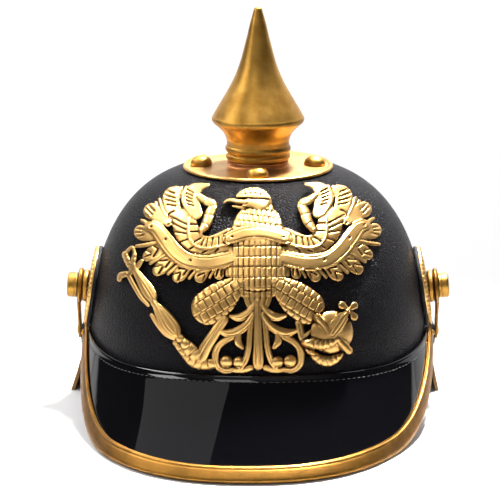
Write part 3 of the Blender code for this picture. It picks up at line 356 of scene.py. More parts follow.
# %% Sizes and form of the bowl
SHELL_HALF_WIDTH = 0.0950
SHELL_HALF_LENGTH = 0.1070
SHELL_WALL = 0.0026
SHELL_EDGE_Z = 0.0360
SHELL_SPRING_Z = 0.0410
SHELL_DOME_HEIGHT = 0.0954
DOME_FULLNESS = 3.2
CROWN_RISE = 0.0013
GAP = 0.0003
PLATE_RADIUS = 0.0421
SLOPE_STEP = 0.0005
PLATE_SEAT = (PLATE_RADIUS + GAP) / SHELL_HALF_WIDTH


def dome_profile(share):
    """Height over the spring line as a share of the dome's height: a superellipse with a flatter cap."""
    share = np.asarray(share, dtype=float)
    round_part = np.sqrt(np.clip(1.0 - share ** DOME_FULLNESS, 0.0, 1.0))
    seat_height = math.sqrt(1.0 - PLATE_SEAT ** DOME_FULLNESS)
    cap = seat_height + CROWN_RISE / SHELL_DOME_HEIGHT * (1.0 - (share / PLATE_SEAT) ** 2)
    return np.where(share < PLATE_SEAT, cap, round_part)


def half_length_at(share, half_width=SHELL_HALF_WIDTH, half_length=SHELL_HALF_LENGTH):
    """Plan half length at a share of the radius: round at the crown, oval at the band."""
    return half_width + (half_length - half_width) * share ** 3


def share_at_height(height):
    """Plan radius, as a share, where the dome's round part reaches this height."""
    rise = np.clip((height - SHELL_SPRING_Z) / SHELL_DOME_HEIGHT, 0.0, 0.999)
    return (1.0 - rise ** 2) ** (1.0 / DOME_FULLNESS)


def ovals(half_width, half_length, height, angle):
    """Oval rings, an array (rows, sides, 3); angle 0 is the front, and it grows towards +X."""
    half_width, half_length, height = (np.asarray(v, dtype=float)[:, None]
                                       for v in (half_width, half_length, height))
    return np.stack(np.broadcast_arrays(half_width * np.sin(angle), -half_length * np.cos(angle),
                                        height), axis=-1)


# %% Make the bowl


def bowl():
    """Rings down the inside of the bowl, round its rolled edge and up the outside."""
    curve = np.cos(np.linspace(0.0, 0.5 * math.pi, 96)) ** (2.0 / DOME_FULLNESS)
    shares = np.concatenate([curve[curve > PLATE_SEAT], np.linspace(PLATE_SEAT, 0.01, 14)])
    angle = full_turn(256)
    walls = []
    for inset in (0.0, SHELL_WALL):
        half_width, half_length = SHELL_HALF_WIDTH - inset, SHELL_HALF_LENGTH - inset
        length = half_length_at(shares, half_width, half_length)
        height = SHELL_SPRING_Z + (SHELL_DOME_HEIGHT - inset) * dome_profile(shares)
        walls.append(ovals(half_width * shares, length * shares, height, angle))
    turn = np.linspace(0.0, math.pi, 9)
    half = 0.5 * SHELL_WALL
    inwards = half * np.cos(turn) - half
    roll = ovals(SHELL_HALF_WIDTH + inwards, SHELL_HALF_LENGTH + inwards,
                 SHELL_EDGE_Z + half - half * np.sin(turn), angle)
    return skin(np.concatenate([walls[1][::-1], roll[::-1], walls[0]]))


piece("leather_bowl", bowl(), COWHIDE, ["shell"])

# %% [markdown]
# ## The peaks and their sections
#
# A peak is cut flat, wetted and moulded: it stands upright against the bowl where it is sewn on, turns
# through a soft bend, and flares out to its edge. Seen in section it is always the same line, only
# longer or shorter, so the surface is that section carried round the bowl. Stations are spaced
# evenly along the edge, and each section lies square to the bowl's band. The photo's helmet has its
# peaks sewn on a little askew, so their edges lie a few millimetres to the wearer's right.

# %% Sizes of the peaks
VISOR_WALL = 0.0019
HALF_VISOR_WALL = 0.5 * VISOR_WALL
LIP_SIDE_Z = 0.0383
LIP_FRONT_RISE = 0.0061
LIP_END_RISE = 0.0060
FLANGE_BEND = 0.0040
FRONT_BEND = {"flange": 0.0025, "lean": 0.0004, "share": 0.9}
REAR_BEND = {"flange": 0.0070, "lean": 0.0, "share": 0.45}
FRONT_EDGE = {"half_width": 0.0970, "reach": 0.1515, "squareness": 2.38}
FRONT_EDGE_FLAT_Y = -0.1100
FRONT_EDGE_END_Y = -0.0140
FRONT_EDGE_END_Z = 0.0385
FRONT_EDGE_SKEW = 0.0045
REAR_EDGE = {"half_width": 0.1055, "reach": 0.1440, "squareness": 2.25}
REAR_EDGE_START_Y = -0.0060
REAR_EDGE_SKEW = 0.0018
TRIM_METAL = 0.0005
TRIM_SLOT = HALF_VISOR_WALL + 0.0004
TRIM_BAND_THICKNESS = 0.0013
TRIM_BAND_DROP = 0.0012
UP = np.array([0.0, 0.0, 1.0])

# %% Sections of a peak


def lip_height(angle):
    """Height of the flange's top edge: it rises at the front, and sweeps up at the front peak's ends."""
    facing = np.clip(np.cos(angle), 0.0, 1.0)
    sweep = np.abs(np.sin(angle)) ** 10 * np.clip(1.0 + 4.0 * np.cos(angle), 0.0, 1.0)
    return LIP_SIDE_Z + LIP_FRONT_RISE * facing ** 3 + LIP_END_RISE * sweep


def roots_on_band(edge):
    """Nearest place on the bowl's band to each point of an edge: its angle, its place, and outwards."""
    half_width = SHELL_HALF_WIDTH + GAP + HALF_VISOR_WALL
    half_length = SHELL_HALF_LENGTH + GAP + HALF_VISOR_WALL
    candidates = np.linspace(-math.pi, math.pi, 7201)
    ring = ovals([half_width], [half_length], [0.0], candidates)[0]
    away = (edge[:, None, 0] - ring[None, :, 0]) ** 2 + (edge[:, None, 1] - ring[None, :, 1]) ** 2
    nearest = np.argmin(away, axis=1)
    angle = candidates[nearest]
    outward = np.stack([half_length * np.sin(angle), -half_width * np.cos(angle), 0.0 * angle], axis=-1)
    return angle, ring[nearest], unit(outward)


def peak_sections(edge, bend_of):
    """Middle line of a peak's wall at each station: points and outward normals (stations, rows, 3).

    The line runs straight down the flange, round the bend as a quadratic curve whose control point
    is the bend's corner, and straight to the edge. The bend is given as the flange's height, how far
    its corner leans out, and the share of the flange that it takes up.
    """
    angle, root, outward = roots_on_band(edge)
    reach = np.clip(np.einsum("ij,ij->i", edge - root, outward), 0.0, None)
    lip, foot = lip_height(angle), edge[:, 2]
    bend = np.maximum(lip - bend_of["flange"], foot + 0.4 * (lip - foot))
    face = np.hypot(reach, bend - foot)
    rounding = np.minimum(FLANGE_BEND, np.minimum(0.45 * face, bend_of["share"] * (lip - bend)))
    top, above, corner, end = (np.stack(np.broadcast_arrays(out, up), axis=-1)[:, None] for out, up in (
        (0.0, lip), (0.0, bend + rounding), (bend_of["lean"], bend), (reach, foot)))
    below = corner + (end - corner) * (rounding / face)[:, None, None]
    t = np.linspace(0.0, 1.0, 5)[None, :-1, None]
    flange = top * (1.0 - t) + above * t
    t = np.linspace(0.0, 1.0, 11)[None, :-1, None]
    turn = above * (1.0 - t) ** 2 + 2.0 * corner * t * (1.0 - t) + below * t ** 2
    t = np.linspace(0.0, 1.0, 22)[None, :, None]
    flare = below * (1.0 - t) + end * t
    line = np.concatenate([flange, turn, flare], axis=1)
    tangent = unit(np.gradient(line, axis=1))
    points = root[:, None] + line[..., :1] * outward[:, None] + line[..., 1:] * UP
    return points, tangent[..., :1] * UP - tangent[..., 1:] * outward[:, None]


# %% Edges of the peaks


def edge_plan(start, half_width, reach, squareness, stations, middle=0.0):
    """Plan of a peak's edge: a superellipse from start to its mirror about middle, in even steps."""
    angle = np.linspace(start, 2.0 * middle - start, 4001)
    across, along = (np.sign(wave) * np.abs(wave) ** (2.0 / squareness)
                     for wave in (np.sin(angle), np.cos(angle)))
    plan = np.stack([half_width * across, -reach * along], axis=-1)
    length = travelled(plan)
    stops = np.linspace(0.0, length[-1], stations)
    return np.interp(stops, length, plan[:, 0]), np.interp(stops, length, plan[:, 1])


def front_edge():
    """Edge of the front peak: flat on the ground in front, climbing to the lugs at the sides."""
    last = math.acos((-FRONT_EDGE_END_Y / FRONT_EDGE["reach"]) ** (0.5 * FRONT_EDGE["squareness"]))
    across, along = edge_plan(-last, **FRONT_EDGE, stations=225)
    climb = np.clip((along - FRONT_EDGE_FLAT_Y) / (FRONT_EDGE_END_Y - FRONT_EDGE_FLAT_Y), 0.0, 1.0)
    ground_line = FRONT_EDGE_END_Z * climb ** 1.8
    edge = np.stack([across - FRONT_EDGE_SKEW * (1.0 - climb) ** 1.3, along, ground_line], axis=-1)
    drop = GAP + TRIM_BAND_DROP
    for _ in range(3):
        points, normals = peak_sections(edge, FRONT_BEND)
        turn, down = normals[:, -1], unit(points[:, -1] - points[:, -2])
        corners = np.array([(TRIM_SLOT + TRIM_BAND_THICKNESS) * turn + drop * down,
                            TRIM_SLOT * turn + drop * down,
                            -TRIM_SLOT * turn + (GAP + TRIM_METAL) * down])
        edge[:, 2] = ground_line - corners[:, :, 2].min(axis=0) * (1.0 - climb)
    return edge


def rear_edge():
    """Edge of the rear peak, lying flat on the ground."""
    start = math.acos(-(-REAR_EDGE_START_Y / REAR_EDGE["reach"]) ** (0.5 * REAR_EDGE["squareness"]))
    across, along = edge_plan(start, **REAR_EDGE, stations=193, middle=math.pi)
    return np.stack([across - REAR_EDGE_SKEW, along, 0.0 * across], axis=-1)


FRONT_SECTIONS = peak_sections(front_edge(), FRONT_BEND)
REAR_SECTIONS = peak_sections(rear_edge(), REAR_BEND)
print("stations on the front and rear edge:", len(FRONT_SECTIONS[0]), len(REAR_SECTIONS[0]))

# %% Make the peaks


def peak(points, normals, level_edge=False):
    """A peak's wall: its middle line moved half a wall out and in, with a rounded lip."""
    outer, inner = points + HALF_VISOR_WALL * normals, points - HALF_VISOR_WALL * normals
    if level_edge:
        down = unit(points[:, -1] - points[:, -2])
        for side in (outer, inner):
            slide = (points[:, -1, 2] - side[:, -1, 2]) / down[:, 2]
            side[:, -1] += slide[:, None] * down
    turn = np.linspace(0.0, 0.44 * math.pi, 5)[1:, None]
    lift = 0.6 * HALF_VISOR_WALL
    top = points[:, :1] - UP * lift + UP * (lift * np.sin(turn))
    across = normals[:, :1] * (HALF_VISOR_WALL * np.cos(turn))
    below_lip = (points[:, :, 2] < points[:, :1, 2] - 1.5 * lift).all(axis=0)
    first = int(np.argmax(below_lip))
    return skin(np.concatenate([(top + across)[:, ::-1], outer[:, first:], inner[:, first:][:, ::-1],
                                top - across], axis=1), ends="zip")


piece("front_peak", peak(*FRONT_SECTIONS), PATENT, ["front_visor"])
rear = piece("rear_peak", peak(*REAR_SECTIONS, level_edge=True), REAR_HIDE, ["rear_visor"])

# %% [markdown]
# The front peak is sewn to the bowl just below its lip. Each stitch is a short, thick thread that
# sinks into the leather at both ends, so it is a small spindle laid along the row.

# %% Stitches of the front peak
STITCH_DEPTH = 0.0042
STITCH_PITCH = 0.0034
STITCH_LENGTH = 0.0024
STITCH_RADIUS = 0.00036
STITCH_SWELL = np.array([0.15, 0.6, 0.9, 1.0, 0.9, 0.6, 0.15])


def stitch_row():
    """Spindles in even steps along a line at a fixed distance below the lip."""
    points, normals = FRONT_SECTIONS
    down = travelled(points)
    row, at = np.argmax(down > STITCH_DEPTH, axis=1), np.arange(len(points))
    share = (STITCH_DEPTH - down[at, row - 1]) / (down[at, row] - down[at, row - 1])
    line = points[at, row - 1] + share[:, None] * (points[at, row] - points[at, row - 1])
    line += HALF_VISOR_WALL * normals[at, row]
    length = travelled(line)
    starts = np.arange(3.0 * STITCH_PITCH, length[-1] - 3.0 * STITCH_PITCH, STITCH_PITCH)
    stops = starts[:, None] + np.linspace(0.0, STITCH_LENGTH, len(STITCH_SWELL))
    middle, out = (np.stack([np.interp(stops, length, values[:, k]) for k in range(3)], axis=-1)
                   for values in (line, normals[at, row]))
    out = unit(out)
    side = np.cross(unit(np.gradient(middle, axis=1)), out)
    turn = full_turn(6)[:, None]
    ring = out[:, :, None] * np.cos(turn) + side[:, :, None] * np.sin(turn)
    rings = middle[:, :, None] + STITCH_RADIUS * STITCH_SWELL[:, None, None] * ring
    return joined(*(skin(stitch) for stitch in rings))


THREAD = smooth_leather("waxed black linen thread", "#1b1917", "#2c2926", 0.45, 0.60, grain=0.4)
piece("peak_stitches", stitch_row(), THREAD, [])

# %% [markdown]
# Under the rear peak the leather isn't dyed, and its tan side shows past the ends of the front peak.
# The faces that look inwards and down get that finish as a second material.

# %% Undyed underside of the rear peak
centres, facing = of_faces(rear, "center"), of_faces(rear, "normal")
towards_axis = (centres[:, :2] * facing[:, :2]).sum(axis=1) < 0.0
paint(rear, TAN_HIDE, towards_axis & (centres[:, 2] < SHELL_EDGE_Z))

# %% [markdown]
# ## The brass trim
#
# A brass channel is folded over the front peak's edge: a thin lip lies on the leather, then a thicker
# band with a rounded shoulder, and a short leaf inside. Its section is drawn as heights up the peak
# and distances out from it, and carried along the edge like a moulding.

# %% Section of the trim
TRIM_LIP = 0.0078
TRIM_BAND = 0.0068
TRIM_INNER_LEAF = 0.0040
TRIM_SHORTEST_LEAF = 0.0006
TRIM_HEADROOM = 0.0015
THIN, THICK = TRIM_SLOT + TRIM_METAL, TRIM_SLOT + TRIM_BAND_THICKNESS
FOLD_DROP = GAP + TRIM_BAND_DROP

# Each row is a height up the face and a distance out from the leather's middle, down to the edge
TRIM_OUTSIDE = np.array([
    (TRIM_LIP, TRIM_SLOT + 0.2 * TRIM_METAL), (TRIM_LIP - 0.00005, TRIM_SLOT + 0.8 * TRIM_METAL),
    (TRIM_LIP - 0.0003, THIN), (TRIM_BAND + 0.00025, THIN), (TRIM_BAND + 0.0001, THIN + 0.0001),
    (TRIM_BAND, THICK - 0.00035), (TRIM_BAND - 0.0002, THICK - 0.0001), (TRIM_BAND - 0.0005, THICK),
    (TRIM_BAND - 0.0010, THICK - 0.00002), (TRIM_BAND - 0.0013, THICK - 0.0002),
    (TRIM_BAND - 0.0017, THICK - 0.00008), (0.60 * TRIM_BAND, THICK), (0.40 * TRIM_BAND, THICK),
    (0.20 * TRIM_BAND, THICK), (0.05 * TRIM_BAND, THICK - 0.0001)])
# Each row is a distance out and a distance past the leather's edge
TRIM_FOLD = ((THICK - 0.0003, 0.72 * FOLD_DROP), (THICK - 0.0008, FOLD_DROP), (TRIM_SLOT, FOLD_DROP),
             (0.0, FOLD_DROP), (-TRIM_SLOT, GAP + TRIM_METAL), (-THIN, GAP))

# %% Make the trim


def along_sections(points, normals, distances):
    """Places and normals at distances up each section's middle line, measured from its edge.

    Distances is (stations, count). Past the lip the line goes straight on.
    """
    points, normals = points[:, ::-1], normals[:, ::-1]
    up = travelled(points)
    i = (up[:, :, None] <= distances[:, None, :]).sum(axis=1) - 1
    i = np.clip(i, 0, up.shape[1] - 2)
    row = np.arange(len(points))[:, None]
    share = ((distances - up[row, i]) / (up[row, i + 1] - up[row, i]))[..., None]
    place = points[row, i] + share * (points[row, i + 1] - points[row, i])
    blend = np.clip(share, 0.0, 1.0)
    return place, unit(normals[row, i] * (1.0 - blend) + normals[row, i + 1] * blend)


def trim():
    """The channel: outside rows, the fold, the inner leaf, and the slot that holds the leather."""
    points, normals = FRONT_SECTIONS
    end, face = points[:, -1], normals[:, -1]
    run = unit(np.gradient(end, axis=0))
    down = unit(end - points[:, -2])
    slant = np.sqrt(np.clip(1.0 - np.einsum("ij,ij->i", down, run) ** 2, 0.25, None))[:, None]
    leaf = np.clip(SHELL_EDGE_Z - end[:, 2] - TRIM_HEADROOM, TRIM_SHORTEST_LEAF, TRIM_INNER_LEAF)

    def rows(heights, outs):
        """Rows at heights up the face, each moved out from its middle line."""
        place, turn = along_sections(points, normals, heights)
        return place + np.asarray(outs)[..., None] * turn

    outside = rows(TRIM_OUTSIDE[:, 0] / slant, TRIM_OUTSIDE[:, 1])
    fold = np.stack([end + out * face + low * down for out, low in TRIM_FOLD], axis=1)
    inside = rows(leaf[:, None] * np.array([0.5, 0.9, 1.0]),
                  [-THIN, -THIN, -TRIM_SLOT - 0.5 * TRIM_METAL])
    around = np.concatenate([outside, fold, inside], axis=1)
    inner_count = around.shape[1] // 3
    slot_inner = rows(leaf[:, None] * np.linspace(1.0, 0.0, inner_count), -TRIM_SLOT)
    slot_outer = rows(np.linspace(0.0, TRIM_LIP, around.shape[1] - inner_count) / slant, TRIM_SLOT)
    slot_inner[:, -1] += GAP * down
    slot_outer[:, 0] += GAP * down
    return skin(np.concatenate([around, slot_inner, slot_outer], axis=1), ends="zip")


piece("edge_trim", trim(), ROLLED_BRASS, ["visor_trim"], crease=50.0)

# %% [markdown]
# ## Turned brass
#
# The spike, its plate and the studs are spun or turned, so each is a profile carried round an axis.
# Between the rows of a profile a Catmull-Rom curve gives the smooth swelling of a turned shape. It
# passes through every row, so the waist and the ridge stay where they were measured.

# %% Profiles and lathes


def smooth_rows(rows, steps):
    """Points along a Catmull-Rom curve through the given rows, whatever their columns."""
    ends = np.vstack([2.0 * rows[0] - rows[1], rows, 2.0 * rows[-1] - rows[-2]])
    before, start, stop, after = (ends[k:len(ends) - 3 + k, None] for k in range(4))
    t = (np.arange(steps) / steps)[None, :, None]
    bend = 2.0 * before - 5.0 * start + 4.0 * stop - after
    twist = 3.0 * start - before - 3.0 * stop + after
    curve = 0.5 * (2.0 * start + (stop - before) * t + bend * t ** 2 + twist * t ** 3)
    return np.vstack([curve.reshape(-1, rows.shape[1]), rows[-1:]])


def frame_along(place, axis):
    """Three unit columns whose last one is the axis, and the place itself."""
    axis = unit(np.asarray(axis, dtype=float))
    helper = UP if abs(axis[2]) < 0.9 else np.array([0.0, 1.0, 0.0])
    side = unit(np.cross(helper, axis))
    return np.stack([side, np.cross(axis, side), axis], axis=1), np.asarray(place, dtype=float)


def turned(profile, sides=96, frame_of=None, closed=False):
    """Rings of a profile of (radius, height) rows round Z, or round the axis of a frame."""
    radius, height = np.asarray(profile, dtype=float).T
    rings = ovals(radius, radius, height, full_turn(sides))
    if frame_of is not None:
        columns, place = frame_of
        rings = rings @ columns.T + place
    return skin(rings, closed=closed)


def domed_profile(radius, height, rows=14):
    """Rows of a low dome with a short upright rim, on a flat base."""
    turn = np.linspace(0.0, 0.5 * math.pi, rows)[:-1]
    dome = np.stack([radius * np.cos(turn), 0.15 * height + 0.85 * height * np.sin(turn)], axis=-1)
    return np.vstack([[(0.05 * radius, 0.0), (radius, 0.0)], dome, [(0.03 * radius, height)]])


def crown_height(radius):
    """Height of the bowl's crown under the base plate."""
    return SHELL_SPRING_Z + SHELL_DOME_HEIGHT * dome_profile(np.asarray(radius) / SHELL_HALF_WIDTH)


# %% Make the base plate
PLATE_METAL = 0.0010
PLATE_BORE = 0.0042
PLATE_ROLL_RADIUS = 0.0011
COLLAR_RADIUS = 0.0172
COLLAR_HEIGHT = 0.0030
COLLAR_FOOT = float(crown_height(COLLAR_RADIUS)) + GAP + PLATE_METAL
COLLAR_TOP = COLLAR_FOOT + COLLAR_HEIGHT

# Each row is a distance out from the collar's side and a height over its foot
COLLAR_ROWS = ((0.0004, 0.0001), (0.0, 0.0006), (0.0, 0.0015), (-0.0003, 0.0017), (0.0, 0.0019),
               (0.0, COLLAR_HEIGHT - 0.0004), (-0.0004, COLLAR_HEIGHT),
               (PLATE_BORE - COLLAR_RADIUS, COLLAR_HEIGHT))


def plate_profile():
    """Under the plate, round its rolled edge, over it, up the collar with a groove, and inwards."""
    radii = np.linspace(PLATE_BORE, PLATE_RADIUS - PLATE_ROLL_RADIUS, 16)
    under = np.stack([radii, crown_height(radii) + GAP], axis=-1)
    middle = under[-1] + np.array([0.0, PLATE_ROLL_RADIUS])
    turn = np.linspace(-0.5 * math.pi, 0.80 * math.pi, 14)[1:]
    roll = middle + PLATE_ROLL_RADIUS * np.stack([np.cos(turn), np.sin(turn)], axis=-1)
    radii = np.linspace(PLATE_RADIUS - 2.6 * PLATE_ROLL_RADIUS, COLLAR_RADIUS + 0.0012, 18)
    over = np.stack([radii, crown_height(radii) + GAP + PLATE_METAL], axis=-1)
    return np.vstack([under, roll, over, np.array(COLLAR_ROWS) + np.array([COLLAR_RADIUS, COLLAR_FOOT])])


plate = piece("base_plate", turned(plate_profile(), sides=160), SPUN_BRASS, ["spike_plate"],
              crease=50.0)

# %% [markdown]
# The collar that carries the spike gets painted shade: its faces, those inside the collar's radius
# and above the plate, get a darker and browner copy of the brass.

# %% Paint shade on the collar
centres = of_faces(plate, "center")
in_collar = np.hypot(centres[:, 0], centres[:, 1]) < COLLAR_RADIUS + 0.0003
# Painted shade on the collar's faces
paint(plate, COLLAR_PAINTED_SHADE, in_collar & (centres[:, 2] > COLLAR_FOOT + 0.0002))

# %% Make the studs
STUD_COUNT = 4
STUD_CIRCLE_RADIUS = 0.0318
STUD_RADIUS = 0.0060
STUD_HEIGHT = 0.0050


def stud(number):
    """A domed stud on the plate, its axis square to the plate's slope."""
    angle = 2.0 * math.pi * number / STUD_COUNT
    outer, inner = crown_height([STUD_CIRCLE_RADIUS + SLOPE_STEP, STUD_CIRCLE_RADIUS - SLOPE_STEP])
    direction = np.array([math.sin(angle), -math.cos(angle), 0.0])
    axis = unit(UP - (outer - inner) / (2.0 * SLOPE_STEP) * direction)
    seat = direction * STUD_CIRCLE_RADIUS
    seat[2] = float(crown_height(STUD_CIRCLE_RADIUS)) + GAP + PLATE_METAL
    return turned(domed_profile(STUD_RADIUS, STUD_HEIGHT), 48, frame_along(seat + 1.3 * GAP * axis, axis))


for i in range(STUD_COUNT):
    piece(f"stud_{i + 1}", stud(i), TURNED_BRASS, [f"plate_stud_{i + 1}"])

# %% Make the spike
SPIKE_HEIGHT = 0.0852
SPIKE_RADIUS = 0.0259

# Profile rows of the spike's foot and of its body, as shares of its widest radius and its height
FOOT_ROWS = ((0.670, 0.000), (0.690, 0.006), (0.697, 0.020), (0.690, 0.032), (0.668, 0.038), (0.672, 0.046),
             (0.695, 0.052), (0.708, 0.062), (0.709, 0.072), (0.698, 0.084), (0.675, 0.092))
BODY_ROWS = ((0.675, 0.092), (0.676, 0.110), (0.687, 0.135), (0.737, 0.172), (0.810, 0.200), (0.876, 0.220),
             (0.948, 0.238), (0.985, 0.250), (1.000, 0.265), (0.990, 0.278), (0.965, 0.291), (0.888, 0.334),
             (0.734, 0.412), (0.590, 0.490), (0.467, 0.570), (0.375, 0.650), (0.305, 0.728), (0.238, 0.807),
             (0.178, 0.886), (0.128, 0.940), (0.104, 0.966), (0.086, 0.984), (0.062, 0.995), (0.020, 1.000))


def spike():
    """The spike's foot and body, turned about the helmet's upright axis."""
    shares = np.vstack([smooth_rows(np.array(FOOT_ROWS), 4)[:-1], smooth_rows(np.array(BODY_ROWS), 6)])
    profile = np.vstack([[(0.002, 0.0)], shares * np.array([SPIKE_RADIUS, SPIKE_HEIGHT])])
    return turned(profile + np.array([0.0, COLLAR_TOP + GAP]), sides=128)


piece("turned_spike", spike(), TURNED_BRASS, ["spike"], crease=50.0)

# %% [markdown]
# ## The eagle plate
#
# The real plate is cast in one piece and pierced, and it follows the bowl's curve. It is drawn here
# flat, as strokes: a stroke runs through a few points and has a half width at each, and its section
# swells from its edge to its middle. Carving would be slower to change. The drawing's height field
# is cut along its outline, bent round the bowl, and given a back and side walls.
#
# Lengths in the drawing are millimetres from the plate's centre, x to the right and y up. A stroke's
# first two numbers are the height of its edge over the backing and the rise of its middle. Flutes are
# grooves along it, at shares of its half width, and scales are grooves across it, a step in
# millimetres. Bricks are a row's turn in degrees, its height, a brick's length, and the shift from
# one row to the next as a share of that length.

# %% Sizes and strokes of the eagle
EAGLE_CENTRE_X = 0.0003
EAGLE_CENTRE_Z = 0.0937
EAGLE_TURN = math.radians(0.5)
EAGLE_SCALE = 1.015
EAGLE_LEAN = math.radians(14.0)
EAGLE_STEEPEST = 0.85
EAGLE_BACKING = 0.0014
DRAWING_CELL = 0.46
DRAWING_HALF = (77.0, 53.0)
DRAWING_BEVEL = 1.1
LOWEST_RELIEF = 0.1
GROOVE_DEPTH = 0.6
GROOVE_HALF = 0.55
SCALE_GROOVE_HALF = 0.6
BRICK_JOINT_DEPTH = 0.75


def stroke(level, crown, *points, **carved):
    """A raised stroke through points (x, y, half width), with its flutes, scales or bricks."""
    return {"level": level, "crown": crown, "points": np.array(points, dtype=float), **carved}


EAGLE_PAIRS = {
    "shoulders": stroke(1, 1.5, (0, 21.5, 3.5), (9, 20.5, 3.5), (14, 19.5, 3.5)),
    "coverts": stroke(0.8, 1.2, (14, 18.6, 6.6), (21.2, 16.7, 5.4), (26.6, 15.9, 5.2), (32, 17.7, 5.5),
        (36.3, 22.6, 6.4), (38.6, 28.4, 6.4), (39.4, 31.8, 4.8)),
    "wrist": stroke(1.4, 1.8, (31.8, 43.4, 1.5), (27.4, 40, 2.1), (23.6, 37.9, 2.3), (25, 33.3, 2.6),
        (26.4, 28.7, 2.5), (28.9, 24.7, 1.7), scales=5.2),
    "first plume": stroke(1.2, 0.8, (32, 33.3, 3), (34.2, 36.8, 4.3), (34.8, 41, 4.6), (34, 45, 4.2),
        (30.9, 47.6, 2.2), (25.8, 48.7, 0.7)),
    "first barb": stroke(1.9, 0.5, (37.8, 47.4, 1.1), (39.3, 44, 1.1), (39.5, 41, 1.1), (38.4, 37.9, 1),
        (34.9, 32.9, 0.8)),
    "second barb": stroke(1, 0.6, (40.6, 47.4, 0.9), (42, 44, 0.9), (42.4, 40.6, 0.9), (41.6, 36, 0.9)),
    "second plume": stroke(0.9, 0.8, (44.1, 34.1, 3.6), (46.1, 38.7, 4.3), (45.8, 42.9, 4.7),
        (43.4, 45.3, 3.2)),
    "third barb": stroke(1.3, 0.5, (52.5, 41.3, 0.9), (51.5, 37.9, 0.9), (50.1, 34.8, 0.9),
        (47.7, 31.4, 0.8)),
    "fourth barb": stroke(0.9, 0.5, (54.5, 39.6, 0.9), (53.7, 36.8, 0.9), (51.7, 33.7, 0.9),
        (48.9, 29.9, 0.8)),
    "third plume": stroke(0.8, 0.8, (47.5, 28.8, 2.2), (50.3, 30.8, 2.8), (54.9, 34.1, 4.2),
        (57.1, 35.2, 4.2)),
    "fourth plume": stroke(0.8, 0.7, (52.5, 20.9, 2), (55.3, 21.6, 2.4), (60.3, 23, 3.8), (62.6, 24, 3.7)),
    "fourth edge": stroke(0.9, 0.5, (54.5, 27, 1), (58.1, 27.9, 1.1), (60.4, 29.3, 1.1), (62.2, 30.3, 0.7)),
    "ribbon": stroke(2, 0.6, (13, 9.9, 3.1), (20.8, 7.9, 3.6), (26.6, 7.2, 3.7), (32.4, 7.7, 3.7),
        (38.3, 9.6, 3.9), (43, 13.1, 4), (46.5, 16.9, 4), (50.1, 21.5, 3.9), (53.3, 25.3, 3.4),
        (56.1, 26.8, 2.9), (58.1, 26.8, 2.1), flutes=(-0.74, 0.74)),
    "long quill": stroke(1.2, 0.6, (50.5, 19, 0.9), (52.9, 18.5, 0.9), (58.9, 17.1, 1), (64.6, 16.4, 0.8)),
    "low plume 1": stroke(0.9, 0.7, (48.5, 15.2, 3), (50.9, 14.8, 3), (55.3, 12.7, 3.6), (58.3, 10.9, 2.6)),
    "low quill 1": stroke(1.2, 0.5, (46.8, 12.9, 0.9), (48.5, 11.9, 0.9), (56.6, 7.3, 0.8)),
    "low plume 2": stroke(0.9, 0.7, (43.4, 10.2, 3), (45.5, 9.2, 3), (49.7, 5.8, 3.6), (52.6, 3.4, 2.8)),
    "low quill 2": stroke(1.2, 0.5, (39.8, 7.6, 0.8), (41.4, 6.4, 0.8), (46.9, 1.8, 0.8)),
    "low plume 3": stroke(0.9, 0.7, (36.2, 6, 3), (37.9, 4.5, 3.1), (40.2, 1.8, 3.5), (42, 0, 2.6)),
    "low quill 3": stroke(1.2, 0.5, (31.6, 4.6, 0.8), (32.4, 3.2, 0.8), (35.6, -0.6, 0.7)),
    "low plume 4": stroke(0.9, 0.7, (27.2, 4.6, 2.9), (28.5, 2.4, 3), (29.9, 0.1, 3)),
    "low quill 4": stroke(1.2, 0.5, (22.3, 4.4, 0.7), (22.7, 3.5, 0.7), (24.8, -0.2, 0.6)),
    "low plume 5": stroke(0.9, 0.7, (18.6, 6, 2.4), (19.4, 4.5, 2.4), (20, 1.2, 2.5)),
    "low plume 6": stroke(0.9, 0.5, (15.6, 5.6, 1.1), (15.5, 1, 1)),
    "thigh": stroke(1, 2.1, (8.5, -2.5, 2.6), (14, -6.6, 6), (20, -11.6, 8.6), (25.6, -15.8, 8.8),
        bricks=(-32, 5.4, 4, 0.5)),
    "tail rib": stroke(0.9, 1.3, (2.8, -18.6, 1.3), (4, -28, 1.5), (4.8, -36.2, 1.6), (6.8, -43.3, 1.6),
        (9.2, -46.9, 1.3), flutes=(0,)),
    "upper curl": stroke(0.8, 1.6, (2.4, -15, 1.7), (5.2, -18.6, 2.1), (9.5, -20.8, 2.2), (14, -20.1, 1),
        flutes=(-0.5,)),
    "middle curl": stroke(0.8, 1.7, (2.4, -19.4, 1.6), (5.6, -24.2, 2.1), (10.3, -27.8, 2.4),
        (15.1, -29, 2.3), (20.1, -27.7, 1), flutes=(-0.45,)),
    "inner drop": stroke(0.8, 1.3, (9.9, -29, 1.2), (10.3, -33.2, 1.9), (8.2, -36.3, 1.1)),
    "outer scroll": stroke(0.8, 1.3, (13.5, -31, 1.5), (18.3, -33.6, 1.7), (21.3, -37, 1.8),
        (22.1, -41.3, 1.8), (21, -45.9, 1.7), (17.5, -48.3, 1.6), (13.3, -47.9, 1.4), flutes=(0,)),
    "outer ball": stroke(0.8, 2.4, (16.3, -43.6, 3.3), (16.4, -43.6, 3.3), (16.5, -43.6, 3.3)),
    "inner ball": stroke(0.8, 2.2, (9.9, -43.9, 3), (10, -43.9, 3), (10.1, -43.9, 3)),
    "tail foot": stroke(0.8, 0.8, (4, -46.8, 1.6), (8, -48.1, 1.5), (13.5, -47.9, 1.4)),
}
